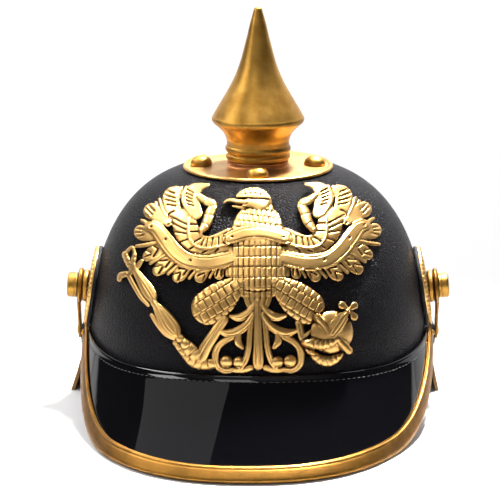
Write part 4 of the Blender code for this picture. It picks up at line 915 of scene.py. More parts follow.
EAGLE_SINGLES = {
    "breast": stroke(1.2, 2.2, (0, 21, 14), (0, 12, 15.5), (0, 2.5, 15), bricks=(0, 5.3, 2.85, 0)),
    "neck": stroke(1.2, 2.4, (0.2, 25, 13.2), (0.6, 29.3, 9.8), (1, 33.1, 7.8), (1, 36.3, 6.9),
        (1.6, 38.6, 6), bricks=(-8, 3.5, 2.8, 0.5)),
    "head": stroke(2, 2.6, (1.6, 39, 5), (-2.6, 39.6, 3.5), (-6.4, 39.2, 2.4)),
    "beak": stroke(2, 1.8, (-7, 39.3, 2.3), (-10, 39.5, 1.6), (-12.6, 40, 1.1), (-15.5, 40.1, 0.75),
        (-17.5, 39, 0.5)),
    "lower beak": stroke(1.4, 1, (-6.6, 36.6, 1.6), (-9.8, 36.7, 1), (-12.8, 37.1, 0.5)),
    "crown": stroke(3.4, 1.2, (-10.4, 42.3, 0.9), (-6.9, 43.2, 2.6), (-2.6, 43.6, 3.3), (1.8, 43.2, 2.8),
        (5.6, 41.9, 1.1)),
    "banner": stroke(3.3, 0.5, (-15, 19.9, 2.4), (-12.9, 20.7, 2.8), (-7.7, 22.4, 3.1), (-2.1, 23.2, 3.2),
        (2.8, 23.1, 3.2), (9.8, 21.6, 3.1), (14, 20.2, 2.8), (15.4, 19.5, 2.1), flutes=(-0.74, 0.74)),
    "tail root": stroke(1.2, 1, (0, 1, 8.3), (0, -6, 6.2), (0, -9, 7.4), (0, -12, 6.4),
        flutes=(-0.62, -0.22, 0.22, 0.62)),
    "tail spine": stroke(1, 1.6, (0, -12, 1.8), (0, -15, 1.8), (0, -30, 2.3), (0, -44, 2.7), (0, -46.9, 1),
        flutes=(-0.4, 0.4)),
    "left shank": stroke(1, 1.4, (-17.6, -21.8, 2.6), (-23.1, -30, 2.8), (-27.4, -36.8, 3),
        (-29.8, -42, 3.2), flutes=(-0.1,)),
    "left foot": stroke(1, 1.3, (-22.6, -44.6, 2.4), (-28, -45, 2.9), (-33.5, -43.8, 2.8),
        (-38.3, -39.8, 1.8), (-43.2, -34, 1.2), scales=3.4),
    "sceptre grip": stroke(1.4, 1.6, (-31.6, -41.4, 2.9), (-34.8, -37.9, 3.6), (-37.8, -34.4, 2.7),
        scales=3.6),
    "sceptre bead": stroke(0.9, 1.6, (-40.4, -31.8, 2.4), (-40.5, -31.7, 2.4), (-40.6, -31.6, 2.4)),
    "sceptre lower leaf": stroke(0.9, 2.2, (-42.4, -30, 1.8), (-44.3, -27.3, 4.2), (-47.1, -23.7, 4.7),
        (-50.1, -19.2, 3.7), (-52.7, -15.6, 2.2), flutes=(-0.55, -0.15, 0.3, 0.65)),
    "lower leaf back": stroke(0.7, 1, (-43.6, -32, 1), (-48.2, -29.1, 1.5), (-52.7, -23.7, 1.5),
        (-55.7, -19.8, 1)),
    "sceptre joint": stroke(1.3, 1.4, (-54.5, -13.2, 1.9), (-53.8, -14.1, 1.9), (-53.1, -15.2, 1.9)),
    "sceptre upper leaf": stroke(0.9, 2, (-54.8, -12.1, 1.9), (-55.9, -9.8, 3.1), (-58.3, -6.2, 3.6),
        (-61.9, -0.9, 2.6), (-65.2, 3.6, 1.7), flutes=(-0.45, 0.05, 0.5)),
    "upper leaf back": stroke(0.7, 0.9, (-57.6, -14.6, 0.9), (-61.4, -10.7, 1.2), (-65, -5.3, 1.2),
        (-69, 1, 1.1)),
    "sceptre head": stroke(0.9, 1.3, (-64.6, 3.2, 1.6), (-66.1, 6.3, 1.4), (-66.1, 9, 1.5),
        (-65.5, 11.9, 1.1), scales=2.6),
    "sceptre left curl": stroke(0.8, 1.1, (-65.7, 3.9, 1.8), (-67.4, 5.4, 1.8), (-69.8, 9, 1.8),
        (-71.3, 12, 1.6), scales=2.8),
    "sceptre ring": stroke(0.8, 0.7, (-70.6, 12.8, 0.8), (-69.1, 14.6, 0.8), (-66.9, 15.8, 0.8),
        (-65.6, 13, 0.8)),
    "sceptre right curl": stroke(0.8, 1, (-64.4, 4.6, 1.3), (-62.8, 6.8, 1.3), (-61.3, 8.6, 0.9)),
    "sceptre hanging leaf": stroke(0.7, 0.9, (-66.5, 2.4, 1.2), (-69.6, 1.8, 1.4), (-73.4, 0.8, 1.6),
        (-74.2, -1.2, 1.3), scales=2.6),
    "right shank": stroke(0.9, 1.3, (21.2, -24, 1.9), (22.4, -30, 1.9), (24.3, -34.3, 2.1), (27, -38.4, 2),
        flutes=(0,)),
    "orb": stroke(1, 3.4, (38.1, -29.2, 11.1), (38.2, -29.2, 11.1), (38.3, -29.2, 11.1)),
    "orb band": stroke(4.1, 0.3, (30.9, -21.4, 1.7), (38.6, -29.8, 1.9), (47.2, -38.9, 1.9),
        flutes=(-0.72, 0.72)),
    "orb leaf": stroke(4.4, 0.4, (38.4, -29.4, 2.2), (40.7, -25.6, 3), (43.6, -21.8, 2.5),
        (46.4, -18.8, 0.9), flutes=(-0.66, 0, 0.66)),
    "orb cross left": stroke(2, 0.9, (47.4, -17.8, 0.9), (45.4, -16.3, 1.2), (43.6, -15.1, 1.9)),
    "orb cross right": stroke(2, 0.9, (47.2, -17.9, 0.9), (48.8, -16.6, 1.2), (50.2, -15.5, 1.9)),
    "orb cross low": stroke(2, 0.9, (47.3, -17.9, 0.9), (48.8, -19.7, 1.2), (50.1, -21.3, 1.9)),
    "upper toe": stroke(3.6, 1.6, (23.6, -34.2, 0.9), (27.5, -34.4, 2.3), (32.5, -35.3, 2.5),
        (37.5, -34.4, 2), (42, -32.5, 0.7), scales=2.7),
    "lower toe": stroke(2, 1.6, (27, -38.5, 1.2), (30.7, -42.4, 2.3), (36, -44.1, 2.8), (41, -42.4, 2),
        (43.6, -40.4, 0.7), scales=2.7),
    "spur": stroke(1.4, 0.9, (23.1, -31.9, 1), (25, -30, 1), (26.8, -28, 0.5)),
}
print("eagle strokes:", len(EAGLE_PAIRS), "on both sides and", len(EAGLE_SINGLES), "single")

# %% Lines carved into the strokes or laid on them


def carving(half, rise, *lines):
    """Lines of a half width that rise by so much, or fall where that is negative."""
    return {"half": half, "rise": rise, "lines": [[(x, y, half) for x, y in line] for line in lines]}


CARVED_PAIRS = {
    "rims of the coverts": carving(0.75, 0.55,
        ((30.9, 29.5), (30.5, 25.7), (29.3, 22.6), (26.6, 21.3), (20.9, 22.2), (15.5, 25)),
        ((36.4, 31), (36.4, 23.4), (35.5, 19.6), (32.4, 16.1), (27.3, 14.8), (22, 15.4), (15.5, 17.1))),
    "upper row of feathers": carving(0.6, -0.75, ((35.4, 27.6), (31.6, 27.6)), ((35, 23.8), (31.4, 23.8)),
        ((33.1, 18.3), (29.6, 20.2)), ((29.4, 16.3), (28, 19.4)), ((26.8, 16), (26.1, 19.8)),
        ((24, 16), (23.2, 20.2)), ((20.2, 16.6), (20.2, 20.6)), ((17, 17.2), (17.2, 21.2))),
    "lower row of feathers": carving(0.6, -0.75, ((46, 32), (37.4, 27.6)), ((45.6, 28.6), (37.8, 25)),
        ((43.8, 23.8), (37.6, 22.8)), ((40.3, 18.5), (36.6, 19.8)), ((35.1, 14.8), (33.2, 16)),
        ((28.5, 12.8), (26.2, 14)), ((22, 13.2), (20.2, 14.8))),
    "barbs of the plumes": carving(0.55, -0.7, ((31.9, 42.1), (29.6, 44.6), (27.2, 46.8)),
        ((37.2, 46.3), (34, 44.6)), ((37.6, 44.4), (34.4, 42.9)), ((37.8, 42.5), (34.6, 41.2)),
        ((37.8, 40.6), (34.6, 39.4)), ((36.8, 38.4), (33.8, 37.6)), ((48.8, 46.2), (44.4, 44.6)),
        ((49.6, 43.8), (43.9, 42)), ((49.2, 41.2), (43.6, 39.8)), ((48.2, 38.6), (43.4, 37.7)),
        ((60, 36.6), (56.6, 33.4)), ((58.4, 38.2), (55.4, 35.2)), ((61, 33.8), (58.4, 31.9)),
        ((65.8, 23.7), (61.9, 23.9)), ((64.4, 21.5), (60.9, 22.4)), ((65.2, 25.9), (61.6, 25.3))),
    "clasp": carving(0.6, -0.8, ((44.4, 34.8), (46.9, 33.5), (47.4, 31.4)), ((47.1, 27.9), (47.3, 27.8))),
    "slits of the lower plumes": carving(0.6, -0.85, ((60.4, 14.4), (56.6, 13.1)),
        ((60.2, 10.7), (56.4, 11.9)), ((54.6, 16.2), (52.6, 15)), ((55, 10.9), (52.8, 14)),
        ((55.6, 5.2), (50.7, 6.3)), ((52, 1.9), (49.9, 5.2)), ((51.2, 8.4), (47.3, 8.9)),
        ((48.2, 5.4), (46.1, 8.1)), ((44.6, 1.4), (40.7, 2.5)), ((41.4, -1.6), (40.4, 1.6)),
        ((40.9, 4.6), (38, 4.3)), ((38.4, 1.4), (36.9, 3.6)), ((30.9, 0.9), (27.8, 2.3)),
        ((28, -1.4), (27.2, 1.2)), ((21.5, 0.4), (20.3, 4.2)), ((18.5, 0.8), (18.5, 4))),
    "pins of the ribbon": carving(0.8, -0.7, ((56.7, 26.9), (56.9, 26.8)), ((48.4, 20), (48.5, 20.1)),
        ((34.9, 8.7), (35, 8.8))),
}
CARVED_SINGLES = {
    "pins of the banner": carving(0.8, -0.7, ((-13.2, 20.9), (-13, 20.9)), ((13.7, 20.6), (13.9, 20.6))),
    "pearls of the crown": carving(0.95, 0.7, ((-8.2, 45), (-8.1, 45)), ((-6.4, 46), (-6.3, 46)),
        ((-4.3, 46.6), (-4.2, 46.6)), ((-2.1, 46.8), (-2, 46.8)), ((0.3, 46.6), (0.4, 46.6)),
        ((2.6, 46), (2.7, 46)), ((4.8, 44.9), (4.9, 44.9))),
    "gaps of the crown": carving(0.55, -0.8, ((-6.6, 43.5), (-6.5, 43.5)), ((-3.9, 43.9), (-3.8, 43.9)),
        ((-1.2, 43.9), (-1.1, 43.9)), ((1.5, 43.3), (1.6, 43.3)),
        ((-10.6, 41.4), (-6.9, 41.3), (-2.7, 41), (1.6, 40.6), (5.8, 40.6))),
    "eye and mouth": carving(0.7, -0.9, ((-7, 40.9), (-6.4, 41)), ((-11, 38.2), (-8.4, 38), (-5.6, 38.4))),
    "waist of the tail": carving(0.7, -0.8, ((-6.2, -6.8), (0, -7.4), (6.2, -6.8))),
    "orb's shade line": carving(0.5, -0.4, ((27.6, -31), (29.8, -37.4), (36, -40))),
}
print("carved groups:", len(CARVED_PAIRS), "on both sides and", len(CARVED_SINGLES), "single")

# %% Draw the relief


def stroke_field(across, up, points, steps=8):
    """For each grid point: depth inside the stroke, half width, distance along it and side of it.

    Along is measured from the stroke's start, and side is the distance from its middle line,
    positive on the left of its direction, both in millimetres.
    """
    route = smooth_rows(points, steps)
    depth, width = np.full(across.shape, -99.0), np.ones(across.shape)
    along, side = np.zeros(across.shape), np.zeros(across.shape)
    walked = 0.0
    for start, stop in zip(route[:-1], route[1:]):
        step = stop[:2] - start[:2]
        length = float(np.hypot(*step)) or 1e-9
        x, y = across - start[0], up - start[1]
        share = np.clip((x * step[0] + y * step[1]) / length ** 2, 0.0, 1.0)
        half = start[2] + (stop[2] - start[2]) * share
        away = np.hypot(x - share * step[0], y - share * step[1])
        nearer = half - away > depth
        depth = np.where(nearer, half - away, depth)
        width = np.where(nearer, half, width)
        along = np.where(nearer, walked + share * length, along)
        side = np.where(nearer, away * np.sign(step[0] * y - step[1] * x), side)
        walked += length
    return depth, width, along, side


def window(points, flip, margin, across, up):
    """Slices of the grid that hold a stroke, or its mirror where flip is -1, and a margin round it."""
    x, y, reach = flip * points[:, 0], points[:, 1], points[:, 2].max() + margin
    i = np.flatnonzero((up[:, 0] > y.min() - reach) & (up[:, 0] < y.max() + reach))
    j = np.flatnonzero((across[0] > x.min() - reach) & (across[0] < x.max() + reach))
    return slice(i[0], i[-1] + 1), slice(j[0], j[-1] + 1)


def near(value, stops, half):
    """1 where a value is at one of the stops, falling to 0 at half away from it."""
    away = np.abs(value[..., None] - np.array(stops)).min(axis=-1)
    return np.clip(1.0 - away / half, 0.0, 1.0)


def bricks(across, up, turn, height, length, shift):
    """Joints between the bricks of rows turned by an angle: 1 in the joint, 0 on the brick."""
    turn = math.radians(turn)
    row = (up * math.cos(turn) - across * math.sin(turn)) / height
    place = (across * math.cos(turn) + up * math.sin(turn)) / length + shift * (np.floor(row) % 2.0) + 0.5
    bed, head = np.abs(row - np.round(row)) * height, np.abs(place - np.round(place)) * length
    return np.clip(1.0 - np.minimum(bed, head) / GROOVE_HALF, 0.0, 1.0)


def with_flips(pairs, singles):
    """Each drawn row with 1, and the rows drawn on both sides with -1 too."""
    return [(row, flip) for row in pairs.values() for flip in (1.0, -1.0)] + \
        [(row, 1.0) for row in singles.values()]


def eagle_relief():
    """Grid of the drawing: how far each point is inside it, and its height over the backing."""
    across, up = np.meshgrid(*(np.linspace(-half, half, int(round(2.0 * half / DRAWING_CELL)) + 1)
                               for half in DRAWING_HALF))
    inside, height = np.full(across.shape, -1.0), np.zeros(across.shape)
    for row, flip in with_flips(EAGLE_PAIRS, EAGLE_SINGLES):
        box = window(row["points"], flip, 3.0, across, up)
        x, y = flip * across[box], up[box]
        depth, width, along, side = stroke_field(x, y, row["points"])
        edge = width if row["crown"] > 0.9 else np.minimum(width, DRAWING_BEVEL)
        top = row["level"] + row["crown"] * swelling(np.clip(depth / edge, 0.0, 1.0))
        if "flutes" in row:
            top -= GROOVE_DEPTH * near(side / width, row["flutes"], GROOVE_HALF / width.clip(1.2))
        if "scales" in row:
            top -= GROOVE_DEPTH * near(along % row["scales"], (0.0, row["scales"]), SCALE_GROOVE_HALF)
        if "bricks" in row:
            top -= BRICK_JOINT_DEPTH * bricks(x, y, *row["bricks"])
        height[box] = np.where(depth > -0.5, np.maximum(height[box], top), height[box])
        inside[box] = np.maximum(inside[box], depth)
    for row, flip in with_flips(CARVED_PAIRS, CARVED_SINGLES):
        for line in row["lines"]:
            points = np.array(line)
            box = window(points, flip, 1.0, across, up)
            depth = stroke_field(flip * across[box], up[box], points, 4)[0]
            height[box] += row["rise"] * swelling(np.clip(depth / row["half"], 0.0, 1.0))
    return across, up, inside, np.maximum(height, LOWEST_RELIEF)


# %% Cut the outline


def cut_sheet(inside):
    """Triangles of the part of a grid where inside is positive, cut along its outline.

    A triangle with one corner in keeps its tip, and one with two corners in keeps the rest as two
    triangles. Returns each vertex as two grid corners and a share between them, the triangles and
    the outline's edges.
    """
    value = np.where(np.abs(inside) < 1e-6, 1e-6, inside).ravel()
    count = inside.size
    index = np.arange(count).reshape(inside.shape)
    a, b = index[:-1, :-1].ravel(), index[:-1, 1:].ravel()
    c, d = index[1:, 1:].ravel(), index[1:, :-1].ravel()
    corners = np.concatenate([np.stack([a, b, c], axis=1), np.stack([a, c, d], axis=1)])
    within = value[corners] > 0.0
    number = within.sum(axis=1)

    def odd_first(how_many):
        """Triangles with one or two corners in, turned so that the odd one out comes first."""
        chosen = number == how_many
        odd = np.argmax(within[chosen] == (how_many == 1), axis=1)
        return np.take_along_axis(corners[chosen], (odd[:, None] + np.arange(3)) % 3, axis=1).T

    def key(p, q):
        """One number for the edge between two grid corners, whichever comes first."""
        return np.minimum(p, q) * count + np.maximum(p, q)

    whole = corners[number == 3]
    p, q, r = odd_first(1)
    tips = np.stack([key(p, p), key(p, q), key(p, r)], axis=1)
    tip_edges = tips[:, 1:]
    p, q, r = odd_first(2)
    rests = np.concatenate([np.stack([key(p, q), key(q, q), key(r, r)], axis=1),
                            np.stack([key(p, q), key(r, r), key(p, r)], axis=1)])
    rest_edges = np.stack([key(p, r), key(p, q)], axis=1)
    used, numbered = np.unique(np.concatenate([key(whole, whole), tips, rests]), return_inverse=True)
    edges = np.searchsorted(used, np.concatenate([tip_edges, rest_edges]))
    low, high = used // count, used % count
    span = np.where(low == high, 1.0, value[low] - value[high])
    share = np.where(low == high, 0.0, np.clip(value[low] / span, 0.02, 0.98))
    return low, high, share, numbered.reshape(-1, 3), edges


# %% Bend the plate round the bowl


def front_depth(across, height):
    """Y of the bowl's front surface at an x and a z."""
    share = share_at_height(height)
    inside = np.clip(share ** 2 - (across / SHELL_HALF_WIDTH) ** 2, 1e-4, None)
    return -half_length_at(share) * np.sqrt(inside)


def eagle_bed(across, up):
    """Places of the drawing's grid on the bowl, their normals, and the way the relief is raised.

    High up, the plate bends back no more steeply than EAGLE_STEEPEST, so its tips stand off the bowl.
    """
    cosine, sine = EAGLE_SCALE * math.cos(EAGLE_TURN), EAGLE_SCALE * math.sin(EAGLE_TURN)
    across, up = EAGLE_CENTRE_X + across * cosine - up * sine, up * cosine + across * sine
    lean_y, lean_z = math.sin(EAGLE_LEAN), math.cos(EAGLE_LEAN)
    middle_y = float(front_depth(np.array(0.0), np.array(EAGLE_CENTRE_Z)))
    height = EAGLE_CENTRE_Z + up * lean_z
    for _ in range(24):
        depth = front_depth(across, height)
        height = 0.5 * height + 0.5 * (EAGLE_CENTRE_Z + (up - (depth - middle_y) * lean_y) / lean_z)
    place = np.stack([across, depth, height], axis=-1)
    backwards = np.array([0.0, lean_z, -lean_y])
    behind = place @ backwards
    rise = np.minimum(np.diff(behind, axis=0), EAGLE_STEEPEST * np.diff(up, axis=0))
    gentle = np.concatenate([behind[:1], behind[:1] + np.cumsum(rise, axis=0)])
    place += (gentle - behind)[..., None] * backwards
    normal = unit(np.cross(np.gradient(place, axis=1), np.gradient(place, axis=0)))
    return place, normal, -backwards


def blurred(grid, radius):
    """Mean of a grid over a square of cells, by running sums along both axes."""
    size = 2 * radius + 1
    for axis in (0, 1):
        padded = np.concatenate([np.repeat(grid.take([0], axis), radius + 1, axis), grid,
                                 np.repeat(grid.take([-1], axis), radius, axis)], axis)
        total = np.cumsum(padded, axis)
        high = total.take(range(size, total.shape[axis]), axis)
        grid = (high - total.take(range(0, total.shape[axis] - size), axis)) / size
    return grid


# %% Make the eagle
# Painted shade of the eagle: hollows darken, flat parts a little, and its hidden back by a fixed amount
SHADE_BLUR_CELLS = 4
SHADE_START = -0.06
SHADE_SPAN = 0.48
BACK_PAINTED_SHADE = 0.4


def eagle():
    """The plate as points, faces and each point's painted shade, from how far it lies below its
    surroundings.
    """
    across, up, inside, height = eagle_relief()
    low, high, share, triangles, edges = cut_sheet(inside)

    def at_vertices(grid):
        """Values of a grid at the cut sheet's vertices."""
        flat = grid.reshape(across.size, -1)
        return flat[low] * (1.0 - share[:, None]) + flat[high] * share[:, None]

    bed, bed_normal, raised = eagle_bed(across * 0.001, up * 0.001)
    place, normal = at_vertices(bed), at_vertices(bed_normal)
    front_side = place + (GAP + EAGLE_BACKING + 0.001 * at_vertices(height)) * raised
    back_side = place + 1.5 * GAP * normal
    count = len(front_side)
    walls = np.stack([edges[:, 1], edges[:, 0], edges[:, 0] + count, edges[:, 1] + count], axis=1)
    faces = triangles.tolist() + (triangles[:, ::-1] + count).tolist() + walls.tolist()
    # Painted shade: how far each point lies below its blurred surroundings, and a fixed shade on the back
    sunk = blurred(height, SHADE_BLUR_CELLS) - height
    shade_amount = np.clip((sunk - SHADE_START) / SHADE_SPAN, 0.0, 1.0)
    painted_shade = np.concatenate([at_vertices(shade_amount)[:, 0], np.full(count, BACK_PAINTED_SHADE)])
    return (np.vstack([front_side, back_side]), faces), painted_shade


eagle_shape, eagle_painted_shade = eagle()
plaque = piece("cast_eagle", eagle_shape, GILT_CASTING, ["eagle_plate"], crease=60.0)
# The painted shade is kept on the mesh as a point value that the gilt finish reads
plaque.data.attributes.new("painted_shade", "FLOAT", "POINT").data.foreach_set("value", eagle_painted_shade)

# %% [markdown]
# ## The fittings on the sides
#
# On each side a leather disc, a beaded metal cockade, a rosette ring, the strap's lug and a turned
# knob are stacked on one screw that stands square to the bowl. The disc and the cockade are soft
# enough to follow the bowl, so their rings are laid on its surface.

# %% Sizes of the side fittings
BOSS_Z = 0.0640
BOSS_LEVELLING = np.array([1.0, 1.0, 0.45])
DISC_RADIUS = 0.0225
DISC_THICKNESS = 0.0018
COCKADE_RADII = (0.0110, 0.0220)
COCKADE_THICKNESS = 0.0016
COCKADE_RIM = 0.76
COCKADE_RAYS = 40
COCKADE_BEADS = 48
ROSETTE_RADII = (0.0052, 0.0092)
ROSETTE_THICKNESS = 0.0032
POST_RADIUS = 0.0035
KNOB_RADIUS = 0.0070
KNOB_LENGTH = 0.0058
LUG_EYE_RADIUS = 0.0100
LUG_METAL = 0.0024
LUG_ARM_WIDTH = 0.0100
LUG_ARM_METAL = 0.0016
LUG_DROP = 0.0320
LUG_SWING = 0.0060
LUG_RIVET = {"radius": 0.0024, "height": 0.0006, "rows": 8}
TRIM_RIVET = {"radius": 0.0017, "height": 0.0012, "rows": 8}
STRAP_THICKNESS = 0.0016
STRAP_WIDTH = 0.0098
STRAP_Z = 0.0360
STRAP_REAR_RISE = 0.0045
STRAP_OVERLAP = 0.0033
STRAP_OFFSET = GAP + VISOR_WALL + GAP
STRAP_END_REACH = 0.0020
STRAP_STATIONS = 241

# Heights along the screw, from the bowl outwards
COCKADE_FOOT = GAP + DISC_THICKNESS + GAP
ROSETTE_FOOT = GAP + DISC_THICKNESS + 3.5 * GAP
LUG_BACK = ROSETTE_FOOT + ROSETTE_THICKNESS + GAP
KNOB_FOOT = LUG_BACK + LUG_METAL + GAP
KNOB_END = KNOB_FOOT + KNOB_LENGTH
KNOB_PROFILE = (
    (0.2 * POST_RADIUS, ROSETTE_FOOT), (POST_RADIUS, ROSETTE_FOOT), (POST_RADIUS, KNOB_FOOT),
    (0.93 * KNOB_RADIUS, KNOB_FOOT), (KNOB_RADIUS, KNOB_FOOT + 0.0004), (KNOB_RADIUS, KNOB_FOOT + 0.0012),
    (0.97 * KNOB_RADIUS, KNOB_FOOT + 0.0014), (0.97 * KNOB_RADIUS, KNOB_FOOT + 0.0017),
    (KNOB_RADIUS, KNOB_FOOT + 0.0019), (KNOB_RADIUS, KNOB_END - 0.0012),
    (0.98 * KNOB_RADIUS, KNOB_END - 0.0006), (0.92 * KNOB_RADIUS, KNOB_END - 0.0002),
    (0.80 * KNOB_RADIUS, KNOB_END), (0.30 * KNOB_RADIUS, KNOB_END), (0.26 * KNOB_RADIUS, KNOB_END - 0.0008),
    (0.05 * KNOB_RADIUS, KNOB_END - 0.0009))

# %% Places on the bowl's side


def side_reach(along, height):
    """X of the bowl's side surface at a y and a z."""
    share = share_at_height(height)
    inside = np.clip(share ** 2 - (along / half_length_at(share)) ** 2, 1e-4, None)
    return SHELL_HALF_WIDTH * np.sqrt(inside)


def on_side(side, along, height, offset):
    """Points on the bowl's side at a y and z, raised by an offset along the surface's normal."""
    step = SLOPE_STEP
    reach = side_reach(along, height)
    slope_y = (side_reach(along + step, height) - side_reach(along - step, height)) / (2.0 * step)
    slope_z = (side_reach(along, height + step) - side_reach(along, height - step)) / (2.0 * step)
    normal = unit(np.stack([np.ones_like(reach), -slope_y, -slope_z], axis=-1))
    offset = np.broadcast_to(offset, reach.shape)[..., None]
    return (np.stack([reach, along, height], axis=-1) + offset * normal) * np.array([side, 1.0, 1.0])


def side_rings(side, radii, offsets, sides):
    """Rings round the boss laid on the bowl's side: radii (rows,), offsets (rows, 1) or (rows, sides)."""
    angle, radii = full_turn(sides), radii[:, None]
    return on_side(side, radii * np.cos(angle), BOSS_Z + radii * np.sin(angle), offsets)


# %% Disc, cockade and rosette


def disc(side):
    """A leather disc with a rounded edge, laid on the bowl."""
    edge = np.linspace(0.0, 1.0, 5)
    radii = np.concatenate([[0.03, 0.5, 0.97], 0.985 + 0.015 * np.sin(np.pi * edge), [0.97, 0.5, 0.03]])
    lifts = np.concatenate([[0.0, 0.0, 0.0], edge, [1.0, 1.0, 1.0]])
    return skin(side_rings(side, radii * DISC_RADIUS, GAP + lifts[:, None] * DISC_THICKNESS, 96))


def cockade(side):
    """A ring that swells in rays from its hole to its rim, where a row of beads stands."""
    turns = np.arange(480) / 480
    rays = 0.5 + 0.5 * np.cos(2.0 * math.pi * COCKADE_RAYS * turns)
    beads = swelling(2.0 * (COCKADE_BEADS * turns % 1.0))
    share = np.linspace(0.0, 1.0, 26)[:, None]
    rim = np.clip((share - COCKADE_RIM) / (1.0 - COCKADE_RIM), 0.0, 1.0)
    swell = np.sin(np.pi * np.clip(share / COCKADE_RIM, 0.0, 1.0)) ** 0.7
    top = 0.25 + np.where(rim > 0.0, swelling(2.0 * rim) * (0.15 + 0.60 * beads),
                          swell * (0.25 + 0.35 * rays))
    hole, outside = COCKADE_RADII
    radii = hole + share[:, 0] * (outside - hole)
    upper = side_rings(side, radii, COCKADE_FOOT + 1.25 * COCKADE_THICKNESS * top, len(turns))
    lower = side_rings(side, radii[[-1, 0]], COCKADE_FOOT, len(turns))
    return skin(np.concatenate([upper, lower]), closed=True)


def rosette(boss):
    """A ring with a squarish, rounded section."""
    turn = full_turn(24)
    cosine, sine = (np.sign(wave) * np.abs(wave) ** 0.7 for wave in (np.cos(turn), np.sin(turn)))
    hole, outside = ROSETTE_RADII
    profile = np.stack([0.5 * (outside + hole) + 0.5 * (outside - hole) * cosine,
                        ROSETTE_FOOT + 0.5 * ROSETTE_THICKNESS * (1.0 + sine)], axis=-1)
    return turned(profile, 64, boss, closed=True)


# %% Lug

# The arm's section: shares of its metal outwards and of its half width
ARM_SECTION = np.array([(0.0, -0.94), (0.25, -1.0), (0.75, -1.0), (1.0, -0.94), (1.0, 0.94), (0.75, 1.0),
                        (0.25, 1.0), (0.0, 0.94)])
ARM_FACE = SHELL_HALF_WIDTH + STRAP_OFFSET + STRAP_THICKNESS + STRAP_END_REACH + GAP
STRAIGHT_ARM = 0.62 * LUG_DROP


def lug(side, boss):
    """The lug: a flat eye round the post, and an arm that hangs from it to the strap."""
    hole, half_metal = POST_RADIUS + GAP, 0.5 * LUG_METAL
    rim = [(LUG_EYE_RADIUS - half_metal * (1.0 - math.sin(t)), LUG_BACK + half_metal * (1.0 - math.cos(t)))
           for t in np.linspace(0.0, math.pi, 7)]
    washer = turned([(hole, LUG_BACK)] + rim + [(hole, LUG_BACK + LUG_METAL)], 64, boss, closed=True)
    eye, tilt = lug_eye(boss), abs(boss[0][2, 2])
    rows = [(drop, abs(eye[0]) + drop * tilt + 0.15 * LUG_METAL, 0.7 * LUG_METAL, 1.0)
            for drop in (0.5 * (LUG_EYE_RADIUS + hole), LUG_EYE_RADIUS)]
    rows += [(STRAIGHT_ARM, ARM_FACE, LUG_ARM_METAL, 0.72), (0.94 * LUG_DROP, ARM_FACE, LUG_ARM_METAL, 0.72),
             (LUG_DROP, ARM_FACE, LUG_ARM_METAL, 0.5)]
    drop, reach, metal, width = smooth_rows(np.array(rows), 6).T[..., None]
    reach = np.where(drop > STRAIGHT_ARM, ARM_FACE, np.maximum(reach, ARM_FACE))
    along = LUG_SWING * drop / LUG_DROP + 0.5 * LUG_ARM_WIDTH * width * ARM_SECTION[:, 1]
    arm = np.stack(np.broadcast_arrays(side * (reach + metal * ARM_SECTION[:, 0]), along, eye[2] - drop),
                   axis=-1)
    return joined(washer, skin(arm if side < 0.0 else arm[:, ::-1]))


def lug_eye(boss):
    """Middle of the lug's eye, on its back."""
    columns, place = boss
    return columns @ np.array([0.0, 0.0, LUG_BACK]) + place


def lug_rivet(side, boss):
    """A domed rivet on the arm, where it holds the strap."""
    seat = (side * (ARM_FACE + LUG_ARM_METAL + GAP), 0.8 * LUG_SWING, lug_eye(boss)[2] - 0.86 * LUG_DROP)
    return turned(domed_profile(**LUG_RIVET), 32, frame_along(seat, (side, 0.0, 0.0)))


# %% Make the side fittings
for side, word in ((-1.0, "right"), (1.0, "left")):
    seat, raised = (on_side(side, np.array(0.0), np.array(BOSS_Z), offset) for offset in (0.0, 1.0))
    boss = frame_along(seat, (raised - seat) * BOSS_LEVELLING)
    piece(f"leather_disc_{word}", disc(side), DISC_HIDE, [f"cockade_disc_{word}"])
    piece(f"beaded_cockade_{word}", cockade(side), GILT_CASTING, [f"cockade_ring_{word}"])
    piece(f"rosette_{word}", rosette(boss), TURNED_BRASS, [f"rosette_ring_{word}"],
          crease=60.0)
    piece(f"turned_knob_{word}", turned(KNOB_PROFILE, 64, boss), TURNED_BRASS, [f"boss_knob_{word}"])
    piece(f"lug_{word}", lug(side, boss), ROLLED_BRASS, [f"strap_lug_{word}"])
    piece(f"lug_rivet_{word}", lug_rivet(side, boss), TURNED_BRASS, [f"strap_rivet_{word}"])

# %% Make the trim's rivets


def trim_rivet(share):
    """A small domed rivet on the trim's band, at a share of its length."""
    points, normals = FRONT_SECTIONS
    station = int(round(share * (len(points) - 1)))
    places, turns = along_sections(points[station:station + 1], normals[station:station + 1],
                                   np.array([[0.5 * TRIM_BAND]]))
    place, turn = places[0, 0], turns[0, 0]
    return turned(domed_profile(**TRIM_RIVET), 24, frame_along(place + (THICK + GAP) * turn, turn))


RIVET_SHARE = 0.004
for share, word in ((RIVET_SHARE, "right"), (1.0 - RIVET_SHARE, "left")):
    piece(f"edge_rivet_{word}", trim_rivet(share), TURNED_BRASS, [f"trim_rivet_{word}"])

# %% [markdown]
# ## The chin strap
#
# The strap is a flat leather band. It isn't worn under the chin but laid round the back, over the
# root of the rear peak, and riveted to the lugs.

# %% Make the strap


